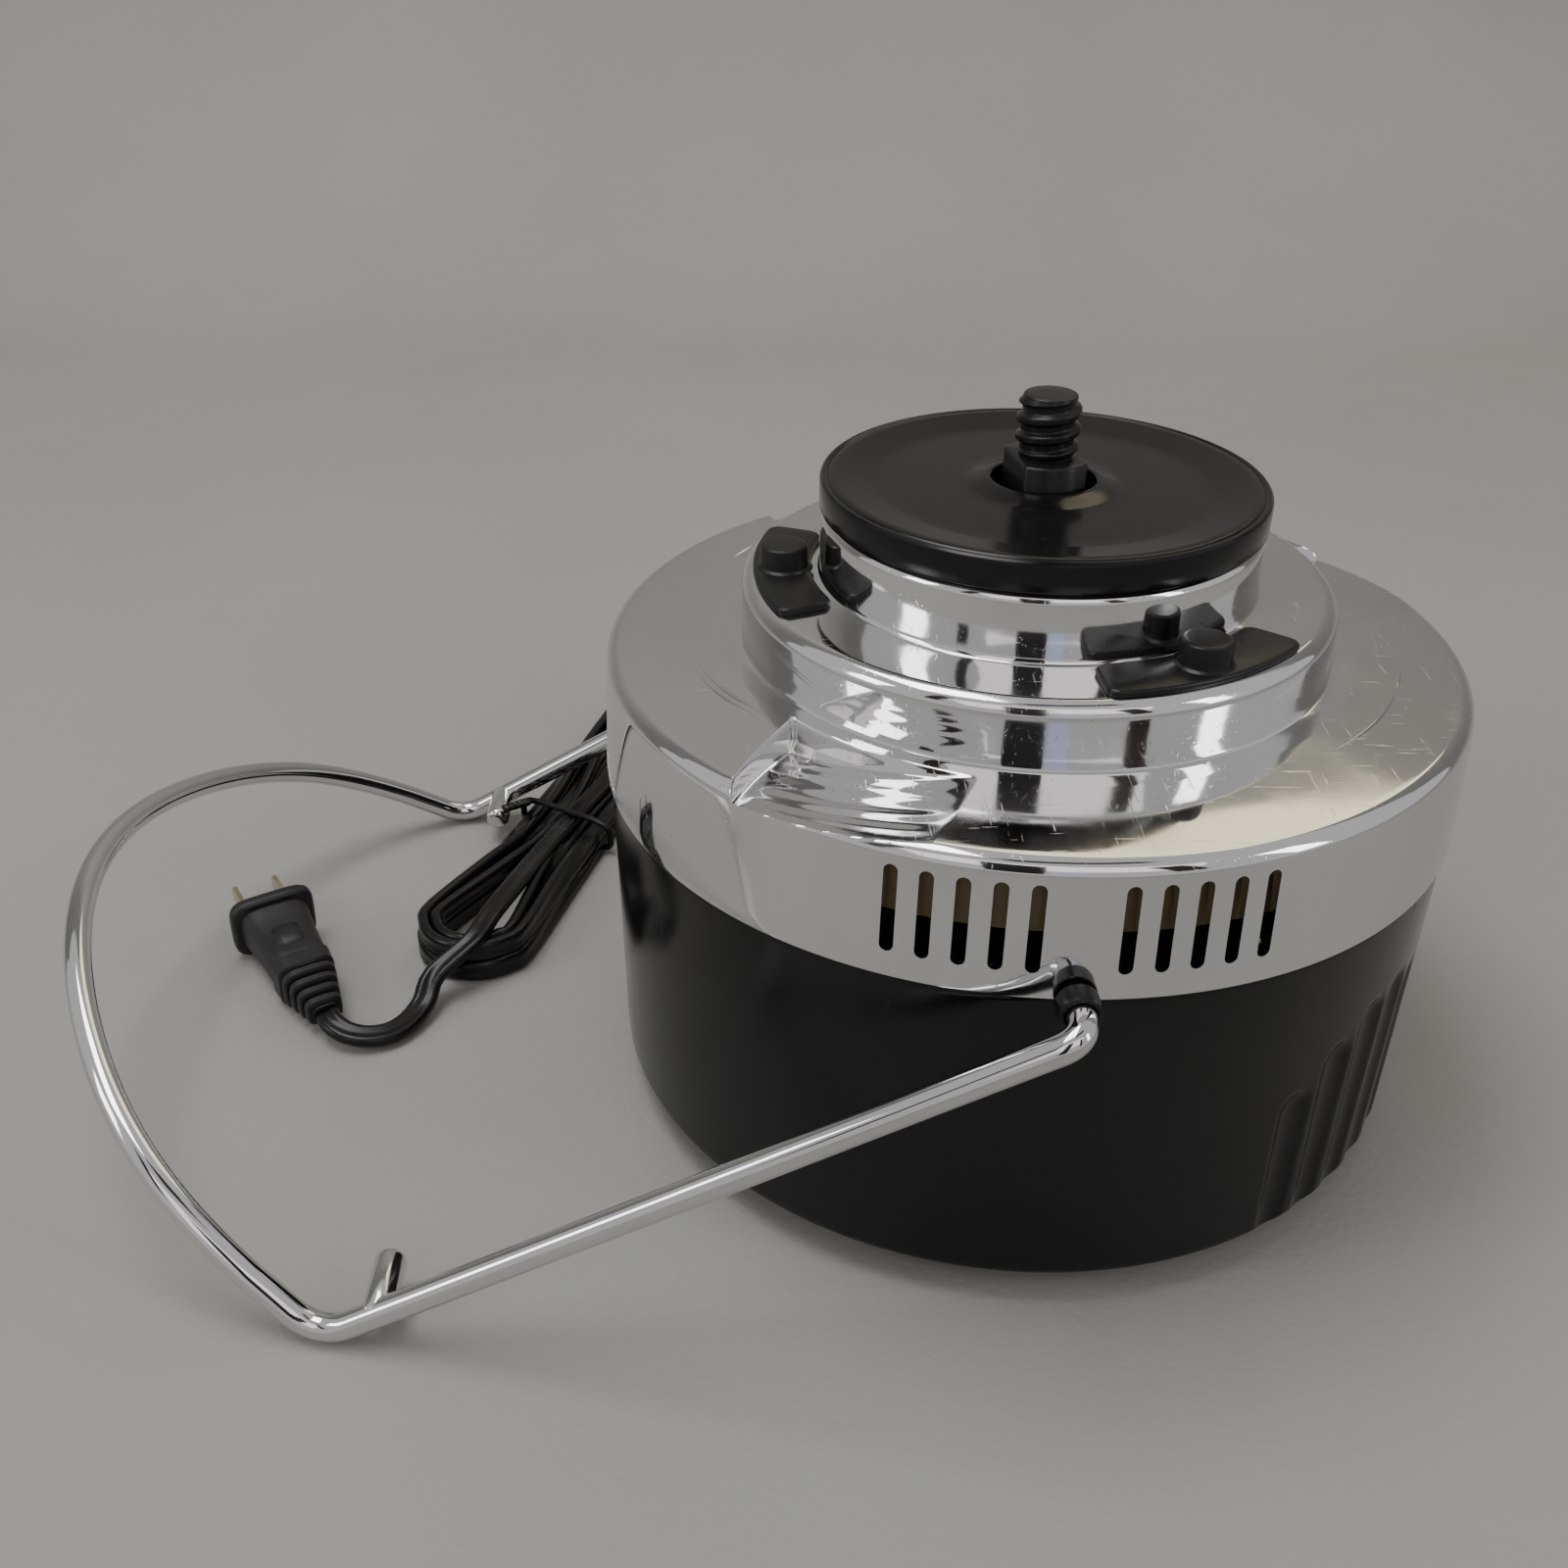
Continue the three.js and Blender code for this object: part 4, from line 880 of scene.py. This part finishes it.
def make_pads():
    """Two rubber pads on the shelf, each with its rounded post."""
    levels = [(0.1, 146.55), (0, 146.9), (0, 147.5), (0.25, 147.95), (0.7, 148.2)]
    profile = [(7.4, 147.9), (6.9, 148.3), (6.3, 148.7), (6.1, 149.4), (6.0, 153.2), (5.8, 153.8),
               (5.2, 154.15), (4.6, 154.2)]
    for index, azimuth in enumerate(PAD_AZIMUTHS):
        slab = grid([[(x, y, z) for x, y in pad_outline(azimuth, inset)] for inset, z in levels], caps=True)
        x, y, _ = polar(POST_CIRCLE_R, azimuth)
        post = moved(turned(profile, 48), Matrix.Translation((x, y, 0)))
        piece(f"pad_{index + 1}", joined(slab, post), LOOKS["pad_rubber"],
              replaces=(f"bowl_pad_{index + 1}",), sharp=40)


# ---------------------------------------------------------------- bail
WIRE_R = 3.44
WIRE_END_Y, PIVOT_HALF_SPAN = 113.8, 124.7
CORNER = (-175.7, 116.2, WIRE_R - 1.8)
CORNER_BEND, ELBOW_BEND = 9, 6.5
LID_PIN_AT = 0.915
BOW_RISE = math.radians(37.5)


def bow_point(u):
    """A point of the bail's bow, u from -1 at one corner to 1 at the other."""
    out = 70.3 * (1 - abs(u) ** 2) - 10.2 * (1 - abs(u) ** 4) + 38.4 * (1 - abs(u) ** 8)
    return Vector((CORNER[0] - out * math.cos(BOW_RISE), CORNER[1] * u, CORNER[2] + out * math.sin(BOW_RISE)))


def bent(a, b, c, radius, steps=14):
    """A rounded corner at b on the way from a to c."""
    start = b + (a - b).normalized() * radius
    end = b + (c - b).normalized() * radius
    return [start.lerp(b, t).lerp(b.lerp(end, t), t) for t in (i / steps for i in range(steps + 1))]


def elbow_and_corner(side):
    elbow = Vector((PIVOT[0], side * PIVOT_HALF_SPAN, PIVOT[1]))
    corner = Vector((CORNER[0], side * CORNER[1], CORNER[2]))
    return elbow, corner


def bail_half(side):
    inner = Vector((PIVOT[0], side * WIRE_END_Y, PIVOT[1]))
    elbow, corner = elbow_and_corner(side)
    arm = [elbow.lerp(corner, t) for t in (0.2, 0.4, 0.6, 0.8)]
    return [inner, *bent(inner, elbow, corner, ELBOW_BEND), *arm,
            *bent(elbow, corner, bow_point(side * 0.965), CORNER_BEND)]


def bail_path():
    bow = [bow_point(math.sin(math.radians(83.7 * (i - 60) / 60)) * 0.945) for i in range(121)]
    return [*bail_half(-1), *bow, *reversed(bail_half(1))]


def on_pivot(shape, side):
    """A form drawn along +Z, laid on the bail's axis and pointing outwards on that side."""
    turn = Matrix.Rotation(-side * math.pi / 2, 4, "X")
    return moved(shape, Matrix.Translation((PIVOT[0], 0, PIVOT[1])) @ turn)


def make_bail():
    """The wire bail with its two domed lid pins and the thin ends that turn in the sleeves."""
    shapes = [sweep(bail_path(), lambda t: circle(WIRE_R, 32))]
    pin = [(3.4, -1), (3.9, 0), (3.9, 15.4), (3.7, 16.3), (3.1, 17), (2.2, 17.35), (1, 17.4)]
    tenon = [(2.5, 98.9), (2.5, 112.6), (2.9, 113.2), (WIRE_R, 113.9)]
    for side in (-1, 1):
        elbow, corner = elbow_and_corner(side)
        inwards = Matrix.Rotation(side * math.pi / 2, 4, "X")
        at = Matrix.Translation(elbow.lerp(corner, LID_PIN_AT))
        shapes.append(moved(turned(pin, 36), at @ inwards))
        shapes.append(on_pivot(turned(tenon, 32), side))
    piece("bail", joined(*shapes), LOOKS["bail_chrome"], body="bail", replaces=("clamp_bail",),
          sharp=40)


def make_sleeves():
    """The black sleeves in the pivot holes, each with a cuff round the wire outside the band."""
    profile = [(2.8, 103.9), (3.8, 103.9), (3.8, 112.0), (4.6, 112.1), (4.85, 112.4), (4.85, 116.6),
               (4.7, 117.2), (4.3, 117.5), (3.7, 117.5), (3.7, 113.5), (2.8, 113.5)]
    for index, side in enumerate((-1, 1)):
        shape = on_pivot(turned(profile, 36, closed=True), side)
        piece(f"sleeve_{index + 1}", shape, LOOKS["sleeve_black"],
              replaces=(f"pivot_sleeve_{index + 1}",))


# ---------------------------------------------------------------- hidden nodes keep their CAD shapes
def dress_cad_nodes():
    """Gives every node the finish of its slot."""
    slots = {s["node"]: s["material_slot"] for s in frame["record"]["subparts"]}
    for name, obj in frame["nodes"].items():
        look = LOOKS[slots[name]]
        if obj.material_slots:
            for material_slot in obj.material_slots:
                material_slot.material = look
        else:
            obj.data.materials.append(look)


make_shell()
make_vent_liner()
make_deck_marks()
make_housing()
make_cap()
make_spindle()
make_pads()
make_bail()
make_sleeves()
dress_cad_nodes()


# ---------------------------------------------------------------- floor and light
SWEEP_Y, SWEEP_R, SWEEP_TOP = 0.72, 0.32, 1.9


def make_floor():
    """A pale grey sweep that curves up behind the object."""
    g = Graph("floor")
    g.link(g.mixed(g.ranged(g.noise(3, 4), 0.3, 0.7, 0, 1), (0.30, 0.30, 0.285), (0.335, 0.335, 0.32)),
           g.shader.inputs["Base Color"])
    g.shader.inputs["Roughness"].default_value = 0.8
    g.bump(g.noise(420, 5), 0.35, 0.0008)
    curve = [(SWEEP_Y + SWEEP_R * math.sin(a), SWEEP_R * (1 - math.cos(a)))
             for a in (math.pi / 2 * i / 24 for i in range(25))]
    outline = finer([(-2.5, 0), (SWEEP_Y, 0)], 0.3)[:-1] + curve + [(SWEEP_Y + SWEEP_R, SWEEP_TOP)]
    verts, faces = grid([[(x, y, z) for x in (-3.0, 3.0)] for y, z in outline], close_columns=False)
    mesh = bpy.data.meshes.new("floor")
    mesh.from_pydata(verts, [], faces)
    mesh.polygons.foreach_set("use_smooth", [True] * len(mesh.polygons))
    floor = bpy.data.objects.new("floor", mesh)
    floor.data.materials.append(g.material)
    bpy.context.scene.collection.objects.link(floor)


def soft_box(name, at, target, size, radiance, colour=(1, 1, 1)):
    """A rectangular soft light whose face has that brightness, so it also reads in the chrome."""
    data = bpy.data.lights.new(name, "AREA")
    data.shape = "RECTANGLE"
    data.size, data.size_y = size
    data.energy = radiance * math.pi * size[0] * size[1]
    data.color = colour
    light = bpy.data.objects.new(name, data)
    light.location = at
    light.rotation_euler = (Vector(target) - Vector(at)).to_track_quat("-Z", "Y").to_euler()
    bpy.context.scene.collection.objects.link(light)


def dark_card(name, at, target, size, shade):
    """A dull panel outside the picture that gives the chrome something dark to show."""
    w, h = size[0] / 2, size[1] / 2
    turn = (Vector(target) - Vector(at)).to_track_quat("-Z", "Y").to_matrix().to_4x4()
    outline = ((-w, -h), (w, -h), (w, h), (-w, h))
    corners = [Matrix.Translation(at) @ turn @ Vector((x, y, 0)) for x, y in outline]
    mesh = bpy.data.meshes.new(name)
    mesh.from_pydata(corners, [], [(0, 1, 2, 3)])
    card = bpy.data.objects.new(name, mesh)
    g = Graph(name)
    g.link(g.mixed(g.ranged(g.noise(4, 3), 0.35, 0.65, 0, 1), shade, tuple(c * 0.6 for c in shade)),
           g.shader.inputs["Base Color"])
    card.data.materials.append(g.material)
    card.visible_camera = False
    card.visible_shadow = False
    bpy.context.scene.collection.objects.link(card)


def make_lights():
    middle = (0.06, 0, 0.1)
    soft_box("top", (-0.35, 0.05, 1.5), middle, (0.9, 0.6), 6.5)
    soft_box("left", (-1.4, -0.5, 0.9), middle, (0.4, 0.7), 5.0)
    soft_box("right", (1.3, -0.7, 0.75), middle, (0.25, 0.8), 5.0)
    soft_box("warm_wall", (0.50, 0.93, 1.12), middle, (0.70, 0.75), 1.5, (1, 0.90, 0.58))
    soft_box("room", (0.1, -1.7, 1.5), middle, (2.6, 1.1), 0.85, (1, 0.93, 0.90))
    soft_box("blue_front", (0.12, -1.2, 0.55), middle, (0.16, 0.26), 0.30, (0.12, 0.22, 1))
    dark_card("dark_front", (-0.15, -1.3, 0.75), middle, (0.35, 1.1), (0.02, 0.02, 0.022))
    dark_card("dark_right", (0.75, -1.15, 0.8), middle, (0.2, 0.8), (0.05, 0.03, 0.02))
    dark_card("dark_left", (-0.9, -1.0, 1.1), middle, (0.16, 0.9), (0.04, 0.03, 0.02))
    dark_card("dark_top", (0.3, -0.5, 2.0), middle, (0.9, 0.3), (0.08, 0.08, 0.08))
    world = bpy.data.worlds.new("world")
    world.use_nodes = True
    world.node_tree.nodes["Background"].inputs["Color"].default_value = (0.64, 0.64, 0.64, 1)
    world.node_tree.nodes["Background"].inputs["Strength"].default_value = 0.85
    bpy.context.scene.world = world


make_floor()
make_lights()
